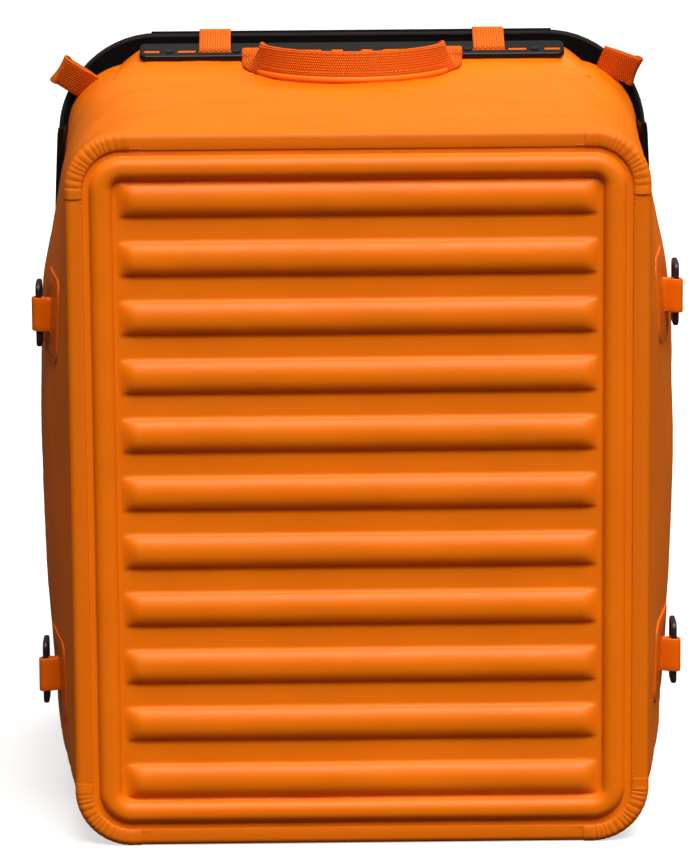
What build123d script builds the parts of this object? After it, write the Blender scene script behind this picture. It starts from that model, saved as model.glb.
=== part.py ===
from build123d import *
import os
from math import cos, radians, sin

# A box-shaped expedition backpack, in millimetres.
# X runs across the pack, Y from the moulded front face to the harness on the back, Z up.
# The origin is on the ground, under the middle of the pack.
# "Depth" below is a distance behind the plane of the front face.

# ---- Driving dimensions ----
FACE_WIDTH = 400.0        # front face, over its binding tape
FACE_HEIGHT = 503.5
FACE_CORNER = 40.0
FACE_Y = -205.5           # the front face's plane
PANEL_THICKNESS = 5.0     # moulded foam panel
TAPE = 1.2                # binding tape
TAPE_FACE = 14.5          # tape showing on the face
TAPE_WRAP = 8.0           # tape lapped onto the walls
TAPE_CORNER_X = 160.0     # where the straight tapes stop
TAPE_CORNER_Z = 42.5      # the same, down from the top and up from the bottom
RIDGE_WIDTH = 14.5        # raised ridge round the face
RIDGE_OUTER_X = 182.6
RIDGE_OUTER_Z = 233.8
RIDGE_CORNER = 24.5
RELIEF = 7.0              # height of the ridge and the ribs
RIDGE_ROUND = 5.0
RIB_COUNT = 11
RIB_PITCH = 41.0
RIB_WIDTH = 22.0
RIB_LENGTH = 328.0
RIB_ROUND = 6.0

WALL = 3.0                # laminated fabric with its foam
BOARD = 2.0               # stiffening boards inside the walls
BOARD_GAP = 0.3
RIM_DEPTH = 356.0         # front of the black rear rim
ZIP_DEPTH = 370.0         # rear of the rim, where the zip starts
ZIP_GAP = 4.5             # zip between rim and back panel
LID_DEPTH = ZIP_DEPTH + ZIP_GAP
LID_THICKNESS = 13.5
PAD_DEPTH = LID_DEPTH + LID_THICKNESS
HARNESS_DEPTH = 402.5     # front of the shoulder straps
HARNESS_REAR = 418.0

# The wall's outline at three depths: depth, half width, bottom, top, side bow, corner radius.
WALL_SECTIONS = (
    (PANEL_THICKNESS, 197.6, 1.8, 501.7, 0.3, 38.0),
    (180.0, 211.0, 1.2, 500.0, 17.5, 62.0),
    (RIM_DEPTH, 212.0, 1.2, 503.0, 5.0, 50.0),
)
# The rim's outline: half width, bottom, top, side bow, corner radius.
RIM = (218.0, 0.0, 524.0, 4.0, 72.0)
RIM_INSIDE = (207.0, 10.0, 497.0, 4.0, 58.0)
LID_INSET = 6.0

RAIL_LENGTH = 316.0       # slotted rail on the top
RAIL_WIDTH = 21.0
RAIL_THICKNESS = 4.0
RAIL_TILT = 20.0
RAIL_LOW_DEPTH = 327.0    # its lower edge
RAIL_LOW_Z = 509.8
RAIL_BAR = 5.5            # from its lower edge to its slots
RAIL_SLOT = 4.0
RAIL_SLOTS = ((11.0, 9.0), (33.5, 23.0), (70.0, 26.0), (102.0, 26.0), (123.0, 14.8), (149.0, 12.6))
RAIL_RIVETS = (52.0, 86.0, 136.0)
RIVET = 1.8
RIVET_HEAD = 2.8
RIVET_RISE = 0.7

SIDE_RAIL_DEPTHS = (328.0, 350.0)
SIDE_RAIL_HEIGHTS = (60.0, 458.0)
SIDE_SLOT_PITCH = 44.0
SIDE_SLOT_COUNT = 9

BAND = 24.0               # webbing width
BAND_X = 102.0            # webbing bands over the rim
WEBBING = 1.6
HANDLE_X = 70.0
HANDLE_HALF_WIDTH = 72.0  # the handle's half oval, seen from above
HANDLE_REACH = 66.0
HANDLE_LEG = 11.0         # from the rail's bar to the oval
HANDLE_TOP = 527.0
HANDLE_BOTTOM = 502.4
HANDLE_THICKNESS = 3.0
HANDLE_LOOP = 6.0         # outer radius of its folded ends

LOOP_DEPTH = 85.0         # side loops
LOOP_X = 223.5
LOOP_HEIGHTS = {"left": (103.4, 362.1), "right": (113.3, 373.0)}
LOOP_HEIGHT = 24.0
RING_HEIGHT = 46.0
RING_LENGTH = 26.0
RING_BAR = 4.5
RING_THICKNESS = 4.0
PATCH = 1.2
PATCH_HEIGHT = 60.0
PATCH_DEPTHS = (50.0, 122.0)
# The loops at the rim's upper corners: middle across, middle up, angle above the horizontal.
CORNER_LOOPS = {"left": (210.7, 491.5, 33.0), "right": (201.5, 498.0, -20.0)}
CORNER_LOOP_DEPTHS = (346.0, 355.0)
CORNER_LOOP_REACH = (-20.0, 13.0)

STRAP_X = 150.0           # lower strap webbing
STRAP_TOP_Z = 486.0
STRAP_END_Z = 225.0       # lower end of a shoulder pad
STRAP_BAND = 20.0         # width of the strap webbing
STRAP_FOLD_Z = 203.8      # where it turns back in the adjuster
STRAP_TAIL_Z = 150.0
HOOK_Z = (22.0, 64.0)
ANCHOR_Z = (14.0, 46.0)
STERNUM_Z = 380.0
SLIDER_X = 215.4          # zip slider at the top of its run
SLIDER_Z = 440.0

SIDES = {"left": -1, "right": 1}
MID_Z = FACE_HEIGHT / 2


# ---- Shared geometry ----
def depth_plane(depth):
    """The upright plane at some depth behind the front face, drawn on in X and Z."""
    return Plane.XZ.offset(-(FACE_Y + depth))


def save(piece, name):
    """Labels a finished piece and writes it under its own name."""
    piece.part.label = name
    export_step(piece.part, f"parts/{name}.step")


def block(x, depth, z, mode=Mode.ADD):
    """A box given by its (low, high) limits across, in depth and up."""
    centre = (sum(x) / 2, FACE_Y + sum(depth) / 2, sum(z) / 2)
    with Locations(centre):
        Box(x[1] - x[0], depth[1] - depth[0], z[1] - z[0], mode=mode)


def bowed_outline(half_width, low, high, bow, corner, inset=0.0):
    """A rounded rectangle with flat top and bottom and outward-bowed sides."""
    side, bottom, top = half_width - inset, low + inset, high - inset
    middle = (bottom + top) / 2
    with BuildLine() as outline:
        Line((-side, top), (side, top))
        ThreePointArc((side, top), (side + bow, middle), (side, bottom))
        Line((side, bottom), (-side, bottom))
        ThreePointArc((-side, bottom), (-side - bow, middle), (-side, top))
    make_face(outline.edges())
    fillet(vertices(), corner - inset)


def prism(outline, depths, inset=0.0, mode=Mode.ADD):
    """A plate of a bowed outline between two depths."""
    with BuildSketch(depth_plane(depths[0])) as profile:
        bowed_outline(*outline, inset=inset)
    extrude(profile.sketch, amount=depths[0] - depths[1], mode=mode)


def face_prism(width, height, corner, depths, mode=Mode.ADD):
    """A plate of a plain rounded rectangle, centred on the front face."""
    with BuildSketch(depth_plane(depths[0])) as profile:
        with Locations((0, MID_Z)):
            RectangleRounded(width, height, corner)
    extrude(profile.sketch, amount=depths[0] - depths[1], mode=mode)


def wall_solid(grow, mode=Mode.ADD):
    """The pack's outer shape, from the face to the rim, grown outward by some millimetres."""
    sections = []
    for depth, half_width, low, high, bow, corner in WALL_SECTIONS:
        with BuildSketch(depth_plane(depth)) as section:
            bowed_outline(half_width, low, high, bow, corner, inset=-grow)
        sections.append(section.sketch)
    loft(sections, mode=mode)


def wall_layer(inner, outer):
    """A layer that follows the wall, between two distances outside its surface."""
    wall_solid(outer)
    wall_solid(inner, mode=Mode.SUBTRACT)


# ---- Front face ----
def make_front():
    """The moulded, ribbed foam panel and the board behind it."""
    with BuildPart() as ribs:
        with BuildSketch(depth_plane(0)):
            for i in range(RIB_COUNT):
                with Locations((0, MID_Z + (i - (RIB_COUNT - 1) / 2) * RIB_PITCH)):
                    SlotOverall(RIB_LENGTH, RIB_WIDTH)
        extrude(amount=RELIEF)
        fillet(ribs.faces().group_by(Axis.Y)[0].edges(), RIB_ROUND)

    with BuildPart() as ridge:
        with BuildSketch(depth_plane(0)):
            with Locations((0, MID_Z)):
                RectangleRounded(2 * RIDGE_OUTER_X, 2 * RIDGE_OUTER_Z, RIDGE_CORNER)
                RectangleRounded(
                    2 * (RIDGE_OUTER_X - RIDGE_WIDTH),
                    2 * (RIDGE_OUTER_Z - RIDGE_WIDTH),
                    RIDGE_CORNER - RIDGE_WIDTH,
                    mode=Mode.SUBTRACT,
                )
        extrude(amount=RELIEF)
        fillet(ridge.faces().group_by(Axis.Y)[0].edges(), RIDGE_ROUND)

    with BuildPart() as front_panel:
        face_prism(FACE_WIDTH - 2 * TAPE, FACE_HEIGHT - 2 * TAPE, FACE_CORNER - TAPE, (0, PANEL_THICKNESS))
        add(ribs.part)
        add(ridge.part)
    save(front_panel, "front_panel")

    board_inset = 2 * (WALL + 2 * BOARD_GAP + 2 * TAPE)
    with BuildPart() as front_board:
        face_prism(
            FACE_WIDTH - board_inset,
            FACE_HEIGHT - board_inset - 2 * TAPE,
            FACE_CORNER,
            (PANEL_THICKNESS, PANEL_THICKNESS + BOARD),
        )
    save(front_board, "front_board")


def make_tape():
    """The binding tape: four straight lengths and four gathered corners, lapped over the edge."""
    with BuildPart() as ring:
        face_prism(FACE_WIDTH, FACE_HEIGHT, FACE_CORNER, (-TAPE, TAPE_WRAP))
        face_prism(
            FACE_WIDTH - 2 * TAPE, FACE_HEIGHT - 2 * TAPE, FACE_CORNER - TAPE, (0, TAPE_WRAP), Mode.SUBTRACT
        )
        face_prism(
            FACE_WIDTH - 2 * TAPE_FACE,
            FACE_HEIGHT - 2 * TAPE_FACE,
            FACE_CORNER - TAPE_FACE,
            (-TAPE, 0),
            Mode.SUBTRACT,
        )
    lengths = {
        "seam_tape_top": (0, FACE_HEIGHT, 2 * TAPE_CORNER_X, 2 * TAPE_CORNER_Z),
        "seam_tape_bottom": (0, 0, 2 * TAPE_CORNER_X, 2 * TAPE_CORNER_Z),
        "seam_tape_left": (-FACE_WIDTH / 2, MID_Z, 40, FACE_HEIGHT - 2 * TAPE_CORNER_Z),
        "seam_tape_right": (FACE_WIDTH / 2, MID_Z, 40, FACE_HEIGHT - 2 * TAPE_CORNER_Z),
    }
    for name, (x, z, width, height) in lengths.items():
        with BuildPart() as tape:
            add(ring.part)
            with Locations((x, FACE_Y, z)):
                Box(width, 4 * TAPE_WRAP, height, mode=Mode.INTERSECT)
        save(tape, name)

    with BuildPart() as seam_tape_corners:
        add(ring.part)
        with Locations((0, FACE_Y, MID_Z)):
            Box(2 * TAPE_CORNER_X, 4 * TAPE_WRAP, 2 * FACE_HEIGHT, mode=Mode.SUBTRACT)
            Box(2 * FACE_WIDTH, 4 * TAPE_WRAP, FACE_HEIGHT - 2 * TAPE_CORNER_Z, mode=Mode.SUBTRACT)
    save(seam_tape_corners, "seam_tape_corners")


# ---- Body ----
def make_walls():
    """The one-piece wall, and the four boards that stiffen it."""
    with BuildPart() as body_wall:
        wall_layer(-WALL, 0)
    save(body_wall, "body_wall")

    inner_layer = (-WALL - BOARD_GAP - BOARD, -WALL - BOARD_GAP)
    depths = (20.0, RIM_DEPTH - 20.0)
    far = 400.0
    limits = {
        "wall_board_top": ((-150, 150), (MID_Z, 2 * far)),
        "wall_board_bottom": ((-150, 150), (-far, MID_Z)),
        "wall_board_left": ((-far, 0), (60, FACE_HEIGHT - 60)),
        "wall_board_right": ((0, far), (60, FACE_HEIGHT - 60)),
    }
    for name, (x, z) in limits.items():
        with BuildPart() as board:
            wall_layer(*inner_layer)
            block(x, depths, z, mode=Mode.INTERSECT)
        save(board, name)


def make_rim():
    """The black rear rim, its zip tape and the fabric hinge above the back panel."""
    with BuildPart() as rim_frame:
        prism(RIM, (RIM_DEPTH, ZIP_DEPTH))
        prism(RIM_INSIDE, (RIM_DEPTH, ZIP_DEPTH), mode=Mode.SUBTRACT)
    save(rim_frame, "rim_frame")

    zip_thickness = 1.8
    tapes = {
        "zip_chain_body": (ZIP_DEPTH, ZIP_DEPTH + zip_thickness),
        "zip_chain_lid": (LID_DEPTH - zip_thickness, LID_DEPTH),
    }
    for name, depths in tapes.items():
        with BuildPart() as chain:
            prism(RIM, depths, inset=LID_INSET + 1)
            prism(RIM, depths, inset=LID_INSET + 9, mode=Mode.SUBTRACT)
            block((-300, 300), (300, 400), (455, 600), mode=Mode.SUBTRACT)
        save(chain, name)

    with BuildPart() as hinge_gusset:
        block((-150, 150), (ZIP_DEPTH, ZIP_DEPTH + WEBBING), (499, 523))
    save(hinge_gusset, "hinge_gusset")


# ---- Rails ----
def rail_plane(along, height=0.0):
    """The tilted plane of the top rail, some way up its slope and above its middle."""
    tilt = radians(RAIL_TILT)
    depth = RAIL_LOW_DEPTH + along * cos(tilt) - height * sin(tilt)
    z = RAIL_LOW_Z + along * sin(tilt) + height * cos(tilt)
    return Plane(origin=(0, FACE_Y + depth, z), x_dir=(1, 0, 0), z_dir=(0, -sin(tilt), cos(tilt)))


def make_top_rail():
    """The tilted slotted rail, the padded bed that it lies on and its rivets."""
    slot_along = RAIL_BAR + RAIL_SLOT / 2
    with BuildPart() as top_rail:
        with BuildSketch(rail_plane(RAIL_WIDTH / 2)):
            RectangleRounded(RAIL_LENGTH, RAIL_WIDTH, 5)
        extrude(amount=RAIL_THICKNESS / 2, both=True)
        fillet(top_rail.faces().group_by(Axis.Z)[-1].edges(), 1.2)
        with BuildSketch(rail_plane(slot_along)):
            for side in SIDES.values():
                for x, width in RAIL_SLOTS:
                    with Locations((side * x, 0)):
                        RectangleRounded(width, RAIL_SLOT, 1.5)
                for x in RAIL_RIVETS:
                    with Locations((side * x, 0)):
                        Circle(RIVET)
        extrude(amount=RAIL_THICKNESS, both=True, mode=Mode.SUBTRACT)
    save(top_rail, "top_rail")

    rivet_length = RAIL_THICKNESS + 4
    with BuildPart() as rail_rivets:
        with BuildSketch(rail_plane(slot_along, RAIL_THICKNESS / 2)):
            for side in SIDES.values():
                for x in RAIL_RIVETS:
                    with Locations((side * x, 0)):
                        Circle(RIVET)
        extrude(amount=-rivet_length)
        with BuildSketch(rail_plane(slot_along, RAIL_THICKNESS / 2)):
            for side in SIDES.values():
                for x in RAIL_RIVETS:
                    with Locations((side * x, 0)):
                        Circle(RIVET_HEAD)
        extrude(amount=RIVET_RISE)
    save(rail_rivets, "rail_rivets")

    bottom = rail_plane(0, -RAIL_THICKNESS / 2).origin
    top = rail_plane(RAIL_WIDTH, -RAIL_THICKNESS / 2).origin
    bed_floor = 498.0
    bar = rail_plane(RAIL_BAR / 2).origin
    with BuildPart() as rail_bed:
        with BuildSketch(Plane.YZ):
            with BuildLine():
                Polyline(
                    (bottom.Y - 4, bed_floor),
                    (bottom.Y, bottom.Z),
                    (top.Y, top.Z),
                    (FACE_Y + RIM_DEPTH, top.Z),
                    (FACE_Y + RIM_DEPTH, bed_floor),
                    close=True,
                )
            make_face()
        extrude(amount=175, both=True)
        wall_solid(0, mode=Mode.SUBTRACT)
        for side in SIDES.values():
            with Locations((side * HANDLE_X, bar.Y, bar.Z)):
                Cylinder(HANDLE_LOOP + 1, 29, rotation=(0, 90, 0), mode=Mode.SUBTRACT)
                Box(29, 16, 14, mode=Mode.SUBTRACT)
        with BuildSketch(rail_plane(slot_along)):
            for side in SIDES.values():
                for x in RAIL_RIVETS:
                    with Locations((side * x, 0)):
                        Circle(RIVET)
        extrude(amount=2 * rivet_length, both=True, mode=Mode.SUBTRACT)
    save(rail_bed, "rail_bed")


def make_side_rails():
    """The slotted rails that follow the bowed side walls, close to the rim."""
    for side_name, side in SIDES.items():
        with BuildPart() as side_rail:
            wall_layer(0, RAIL_THICKNESS)
            x = sorted((side * 150.0, side * 300.0))
            block(x, SIDE_RAIL_DEPTHS, SIDE_RAIL_HEIGHTS, mode=Mode.INTERSECT)
            middle_depth = sum(SIDE_RAIL_DEPTHS) / 2
            for i in range(SIDE_SLOT_COUNT):
                z = sum(SIDE_RAIL_HEIGHTS) / 2 + (i - (SIDE_SLOT_COUNT - 1) / 2) * SIDE_SLOT_PITCH
                slot_depths = (middle_depth - RAIL_SLOT / 2, middle_depth + RAIL_SLOT / 2)
                block(x, slot_depths, (z - BAND / 2 - 1, z + BAND / 2 + 1), mode=Mode.SUBTRACT)
        save(side_rail, f"side_rail_{side_name}")


# ---- Webbing on the body ----
def make_bands():
    """The two webbing bands that come out of the top rail and cross the rim."""
    above = RAIL_THICKNESS / 2 + 0.3
    start = rail_plane(RAIL_BAR + RAIL_SLOT / 2, above).origin
    crest = rail_plane(RAIL_WIDTH, above).origin
    rear = FACE_Y + ZIP_DEPTH
    rim_top = RIM[2] + 0.1
    for side_name, side in SIDES.items():
        with BuildPart() as band:
            with BuildSketch(Plane.YZ.offset(side * BAND_X)):
                with BuildLine():
                    Polyline(
                        (start.Y, start.Z),
                        (crest.Y, crest.Z + 0.6),
                        (FACE_Y + RIM_DEPTH, rim_top),
                        (rear, rim_top),
                        (rear, rim_top + WEBBING),
                        (FACE_Y + RIM_DEPTH, rim_top + WEBBING),
                        (crest.Y - 1, crest.Z + 0.6 + WEBBING),
                        (start.Y - 1, start.Z + WEBBING),
                        close=True,
                    )
                make_face()
            extrude(amount=BAND / 2, both=True)
        save(band, f"anchor_band_{side_name}")


def make_corner_loops():
    """Open folded loops of webbing, sewn into the seam at the rim's two upper corners."""
    inner_end, fold_end = CORNER_LOOP_REACH
    length, middle = fold_end - inner_end, (inner_end + fold_end) / 2
    opening = CORNER_LOOP_DEPTHS[1] - CORNER_LOOP_DEPTHS[0]
    with BuildPart() as corner_loops:
        for side_name, side in SIDES.items():
            x, z, angle = CORNER_LOOPS[side_name]
            outward = (side * cos(radians(angle)), 0, sin(radians(angle)))
            across = (side * sin(radians(angle)), 0, -cos(radians(angle)))
            corner = Plane(
                origin=(side * x, FACE_Y + sum(CORNER_LOOP_DEPTHS) / 2, z), x_dir=outward, z_dir=across
            )
            with BuildSketch(corner):
                with Locations((middle, 0)):
                    SlotOverall(length, opening)
                    SlotOverall(length - 2 * WEBBING, opening - 2 * WEBBING, mode=Mode.SUBTRACT)
            extrude(amount=BAND / 2, both=True)
        wall_solid(0, mode=Mode.SUBTRACT)
    save(corner_loops, "corner_loops")


def make_side_loops():
    """Four patches and four folded tabs on the side walls, each tab round a ring's bar."""
    with BuildPart() as side_patches:
        wall_layer(0, PATCH)
        keep = []
        for side_name, side in SIDES.items():
            for z in LOOP_HEIGHTS[side_name]:
                middle = (side * 210, FACE_Y + sum(PATCH_DEPTHS) / 2, z)
                keep.append(middle)
        with Locations(*keep):
            Box(60, PATCH_DEPTHS[1] - PATCH_DEPTHS[0], PATCH_HEIGHT, mode=Mode.INTERSECT)
    save(side_patches, "side_patches")

    fold, neck = 4.8, 1.7
    with BuildPart() as side_tabs:
        for side_name, side in SIDES.items():
            for z in LOOP_HEIGHTS[side_name]:
                with Locations((side * LOOP_X, FACE_Y + LOOP_DEPTH, z)):
                    Cylinder(fold, LOOP_HEIGHT)
                neck_x = sorted((side * (LOOP_X - 25), side * LOOP_X))
                neck_z = (z - LOOP_HEIGHT / 2, z + LOOP_HEIGHT / 2)
                block(neck_x, (LOOP_DEPTH - neck, LOOP_DEPTH + neck), neck_z)
        for side_name, side in SIDES.items():
            for z in LOOP_HEIGHTS[side_name]:
                with Locations((side * LOOP_X, FACE_Y + LOOP_DEPTH, z)):
                    Cylinder(fold - WEBBING, 2 * LOOP_HEIGHT, mode=Mode.SUBTRACT)
        wall_solid(PATCH, mode=Mode.SUBTRACT)
    save(side_tabs, "side_tabs")

    for side_name, side in SIDES.items():
        for level, z in zip(("lower", "upper"), LOOP_HEIGHTS[side_name]):
            ring_plane = Plane(
                origin=(side * LOOP_X, FACE_Y + LOOP_DEPTH, z), x_dir=(0, 1, 0), z_dir=(1, 0, 0)
            )
            with BuildPart() as ring:
                with BuildSketch(ring_plane):
                    with Locations((RING_LENGTH / 2 - RING_BAR / 2, 0)):
                        RectangleRounded(RING_LENGTH, RING_HEIGHT, 6)
                        RectangleRounded(
                            RING_LENGTH - 2 * RING_BAR, RING_HEIGHT - 2 * RING_BAR, 2, mode=Mode.SUBTRACT
                        )
                extrude(amount=RING_THICKNESS / 2, both=True)
                fillet(ring.faces().filter_by(Plane.YZ).edges(), 1.5)
            save(ring, f"side_ring_{side_name}_{level}")


def make_handle():
    """The carry handle: webbing on edge in a half oval, with its ends folded round the rail's bar."""
    bar = rail_plane(RAIL_BAR / 2).origin
    centre_y = bar.Y - HANDLE_LEG
    half = HANDLE_THICKNESS / 2
    with BuildPart() as handle:
        with BuildSketch(Plane.XY.offset(HANDLE_BOTTOM)):
            with Locations((0, centre_y)):
                Ellipse(HANDLE_HALF_WIDTH + half, HANDLE_REACH + half)
                Ellipse(HANDLE_HALF_WIDTH - half, HANDLE_REACH - half, mode=Mode.SUBTRACT)
            with Locations((0, centre_y + HANDLE_REACH + half)):
                Rectangle(3 * HANDLE_HALF_WIDTH, 2 * (HANDLE_REACH + half), mode=Mode.SUBTRACT)
        extrude(amount=HANDLE_TOP - HANDLE_BOTTOM)
        for side in SIDES.values():
            leg_x = (side * HANDLE_X - BAND / 2, side * HANDLE_X + BAND / 2)
            leg_depths = (centre_y - HANDLE_THICKNESS - FACE_Y, bar.Y - FACE_Y)
            block(leg_x, leg_depths, (bar.Z - HANDLE_LOOP, bar.Z - HANDLE_LOOP + HANDLE_THICKNESS))
            with Locations((side * HANDLE_X, bar.Y, bar.Z)):
                Cylinder(HANDLE_LOOP, BAND, rotation=(0, 90, 0))
        for side in SIDES.values():
            with Locations((side * HANDLE_X, bar.Y, bar.Z)):
                Cylinder(HANDLE_LOOP - WEBBING, BAND + 2, rotation=(0, 90, 0), mode=Mode.SUBTRACT)
    save(handle, "handle")


# ---- Back panel, which is the pack's lid ----
def make_lid():
    """The zipped back panel: cover, board, two stays and the padding's foam sheet."""
    rear = PAD_DEPTH
    with BuildPart() as lid_cover:
        prism(RIM, (LID_DEPTH, rear), inset=LID_INSET)
        prism(RIM, (LID_DEPTH + 1.5, rear - 1.5), inset=LID_INSET + 3, mode=Mode.SUBTRACT)
    save(lid_cover, "lid_cover")

    with BuildPart() as lid_board:
        prism(RIM, (LID_DEPTH + 1.7, LID_DEPTH + 4.2), inset=LID_INSET + 4)
    save(lid_board, "lid_board")

    with BuildPart() as lid_stays:
        for side in SIDES.values():
            block((side * 60 - 12.5, side * 60 + 12.5), (LID_DEPTH + 4.5, LID_DEPTH + 7.5), (60, 460))
    save(lid_stays, "lid_stays")

    with BuildPart() as lid_foam:
        prism(RIM, (LID_DEPTH + 7.8, rear - 1.7), inset=LID_INSET + 5)
    save(lid_foam, "lid_foam")


def make_back_pads():
    """Four foam pads on the back panel, with a channel between them for air."""
    levels = {"lower": (50.0, 235.0), "upper": (255.0, 455.0)}
    for side_name, side in SIDES.items():
        for level, (low, high) in levels.items():
            with BuildPart() as pad:
                with BuildSketch(depth_plane(PAD_DEPTH)):
                    with Locations((side * 92.5, (low + high) / 2)):
                        RectangleRounded(145, high - low, 28)
                extrude(amount=PAD_DEPTH - (HARNESS_DEPTH - 1.5))
                fillet(pad.faces().group_by(Axis.Y)[-1].edges(), 5)
            save(pad, f"back_pad_{level}_{side_name}")


# ---- Shoulder harness ----
def make_lid_webbing():
    """The webbing on the back panel that carries each shoulder strap, above and below."""
    for side_name, side in SIDES.items():
        x = (side * BAND_X - BAND / 2, side * BAND_X + BAND / 2)
        with BuildPart() as yoke:
            block(x, (PAD_DEPTH, PAD_DEPTH + 2), (STRAP_TOP_Z, 512))
            block(x, (PAD_DEPTH, HARNESS_DEPTH - 0.5), (STRAP_TOP_Z, STRAP_TOP_Z + 2))
        save(yoke, f"strap_yoke_{side_name}")

        anchor_x = (side * STRAP_X - STRAP_BAND / 2, side * STRAP_X + STRAP_BAND / 2)
        low, high = ANCHOR_Z
        with BuildPart() as anchor:
            block(anchor_x, (PAD_DEPTH, PAD_DEPTH + 2), (low, high))
            block(anchor_x, (PAD_DEPTH + 2, HARNESS_DEPTH), (low, low + 2))
            block(anchor_x, (PAD_DEPTH + 2, HARNESS_DEPTH), (high - 2, high))
            block(anchor_x, (HARNESS_DEPTH - 2, HARNESS_DEPTH), (low + 2, high - 2))
        save(anchor, f"strap_anchor_{side_name}")


def strap_outline(side):
    """The S-shaped outline of a shoulder pad, wide at the shoulder and narrow below."""
    top = STRAP_TOP_Z - 1
    with BuildLine() as outline:
        Line((side * 76, top), (side * 128, top))
        Spline((side * 128, top), (side * 150, 420), (side * 176, 340), (side * 176, STRAP_END_Z))
        Line((side * 176, STRAP_END_Z), (side * 124, STRAP_END_Z))
        Spline((side * 124, STRAP_END_Z), (side * 118, 310), (side * 92, 380), (side * 76, top))
    make_face(outline.edges())
    fillet(vertices(), 10)


def make_straps():
    """Each shoulder strap: pad, adjuster, lower webbing and the hook that closes it."""
    pad_depths = (HARNESS_DEPTH, HARNESS_REAR - 3)
    adjuster_depths = (HARNESS_DEPTH + 2.5, HARNESS_DEPTH + 8.5)
    adjuster_z = (196.0, STRAP_END_Z - 0.3)
    adjuster_slots = (201.0, 211.0)
    hook_slot = HOOK_Z[1] - 11
    slot_height = 4.0
    near, far = HARNESS_DEPTH + 0.9, HARNESS_DEPTH + 9.0
    through = (HARNESS_DEPTH - 2, HARNESS_DEPTH + 18)
    for side_name, side in SIDES.items():
        x = side * STRAP_X
        slot_x = (x - STRAP_BAND / 2 - 2, x + STRAP_BAND / 2 + 2)
        webbing_x = (x - STRAP_BAND / 2, x + STRAP_BAND / 2)

        with BuildPart() as strap_pad:
            with BuildSketch(depth_plane(pad_depths[0])):
                strap_outline(side)
            extrude(amount=pad_depths[0] - pad_depths[1])
            fillet(strap_pad.faces().group_by(Axis.Y)[-1].edges(), 3)
        save(strap_pad, f"strap_pad_{side_name}")

        with BuildPart() as adjuster:
            block((x - 17, x + 17), adjuster_depths, adjuster_z)
            for low in adjuster_slots:
                block(slot_x, through, (low, low + slot_height), mode=Mode.SUBTRACT)
        save(adjuster, f"strap_adjuster_{side_name}")

        with BuildPart() as webbing:
            block(webbing_x, (near, near + WEBBING), (HOOK_Z[1], STRAP_FOLD_Z))
            block(webbing_x, (near, far + WEBBING), (STRAP_FOLD_Z - WEBBING, STRAP_FOLD_Z))
            block(webbing_x, (far, far + WEBBING), (STRAP_TAIL_Z, STRAP_FOLD_Z))
        save(webbing, f"strap_webbing_{side_name}")

        with BuildPart() as hook:
            block((x - 13, x + 13), (HARNESS_DEPTH + 1, HARNESS_DEPTH + 4.5), HOOK_Z)
            block(slot_x, through, (hook_slot, hook_slot + slot_height), mode=Mode.SUBTRACT)
        save(hook, f"strap_hook_{side_name}")


def make_sternum():
    """The chest strap: webbing and socket on the left, webbing and plug on the right."""
    webbing_end = 135.0
    socket_x = (-18.0, 14.0)
    plug_x = (14.3, 24.0)
    half_height = 10.0
    webbing_z = (STERNUM_Z - half_height, STERNUM_Z + half_height)
    webbing_depths = (HARNESS_REAR - 2.4, HARNESS_REAR - 0.6)
    buckle_depths = (HARNESS_REAR - 9, HARNESS_REAR)
    prong = 5.0

    with BuildPart() as sternum_webbing_left:
        block((-webbing_end, socket_x[0]), webbing_depths, webbing_z)
    save(sternum_webbing_left, "sternum_webbing_left")

    with BuildPart() as sternum_socket:
        block(socket_x, buckle_depths, (STERNUM_Z - 14, STERNUM_Z + 14))
        fillet(sternum_socket.edges().filter_by(Axis.Y), 4)
        cavity_z = (STERNUM_Z - half_height - 0.4, STERNUM_Z + half_height + 0.4)
        block((-10, socket_x[1] + 1), (HARNESS_REAR - 7, HARNESS_REAR - 2), cavity_z, Mode.SUBTRACT)
    save(sternum_socket, "sternum_socket")

    with BuildPart() as sternum_plug:
        block(plug_x, buckle_depths, (STERNUM_Z - 13, STERNUM_Z + 13))
        for low in (STERNUM_Z - half_height, STERNUM_Z + half_height - prong):
            block((-8, plug_x[0] + 1), (HARNESS_REAR - 6.6, HARNESS_REAR - 2.4), (low, low + prong))
    save(sternum_plug, "sternum_plug")

    with BuildPart() as sternum_webbing_right:
        block((plug_x[1], webbing_end), webbing_depths, webbing_z)
    save(sternum_webbing_right, "sternum_webbing_right")


# ---- Zip slider ----
def make_slider():
    """The zip's slider near the top of the right side, and the pull that hangs from it."""
    x, z = SLIDER_X, SLIDER_Z
    pin = (x + 3.3, FACE_Y + ZIP_DEPTH + 5, z)
    pin_depth = ZIP_DEPTH + 5
    half_length = 6.0
    ear = 1.0
    slider_z = (z - half_length, z + half_length)
    with BuildPart() as zip_slider:
        block((x, x + 2), (ZIP_DEPTH + 0.5, ZIP_DEPTH + 9.5), slider_z)
        block((x - 0.6, x + 2), (ZIP_DEPTH + 0.5, ZIP_DEPTH + ZIP_GAP - 0.3), slider_z)
        for low in (pin_depth - 3.5, pin_depth + 2.5):
            block((x + 2, x + 4.6), (low, low + ear), (z - 1.3, z + 1.3))
        with Locations(pin):
            Cylinder(0.8, 6, rotation=(90, 0, 0))
    save(zip_slider, "zip_slider")

    with BuildPart() as zip_pull:
        with Locations(pin):
            Cylinder(1.3, 4.4, rotation=(90, 0, 0))
        block((x + 2.7, x + 3.9), (pin_depth - 2.2, pin_depth + 2.2), (z - 24, z))
        with Locations(pin):
            Cylinder(0.88, 6, rotation=(90, 0, 0), mode=Mode.SUBTRACT)
    save(zip_pull, "zip_pull")


os.makedirs("parts", exist_ok=True)
make_front()
make_tape()
make_walls()
make_rim()
make_top_rail()
make_side_rails()
make_bands()
make_corner_loops()
make_side_loops()
make_handle()
make_lid()
make_back_pads()
make_lid_webbing()
make_straps()
make_sternum()
make_slider()
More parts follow.
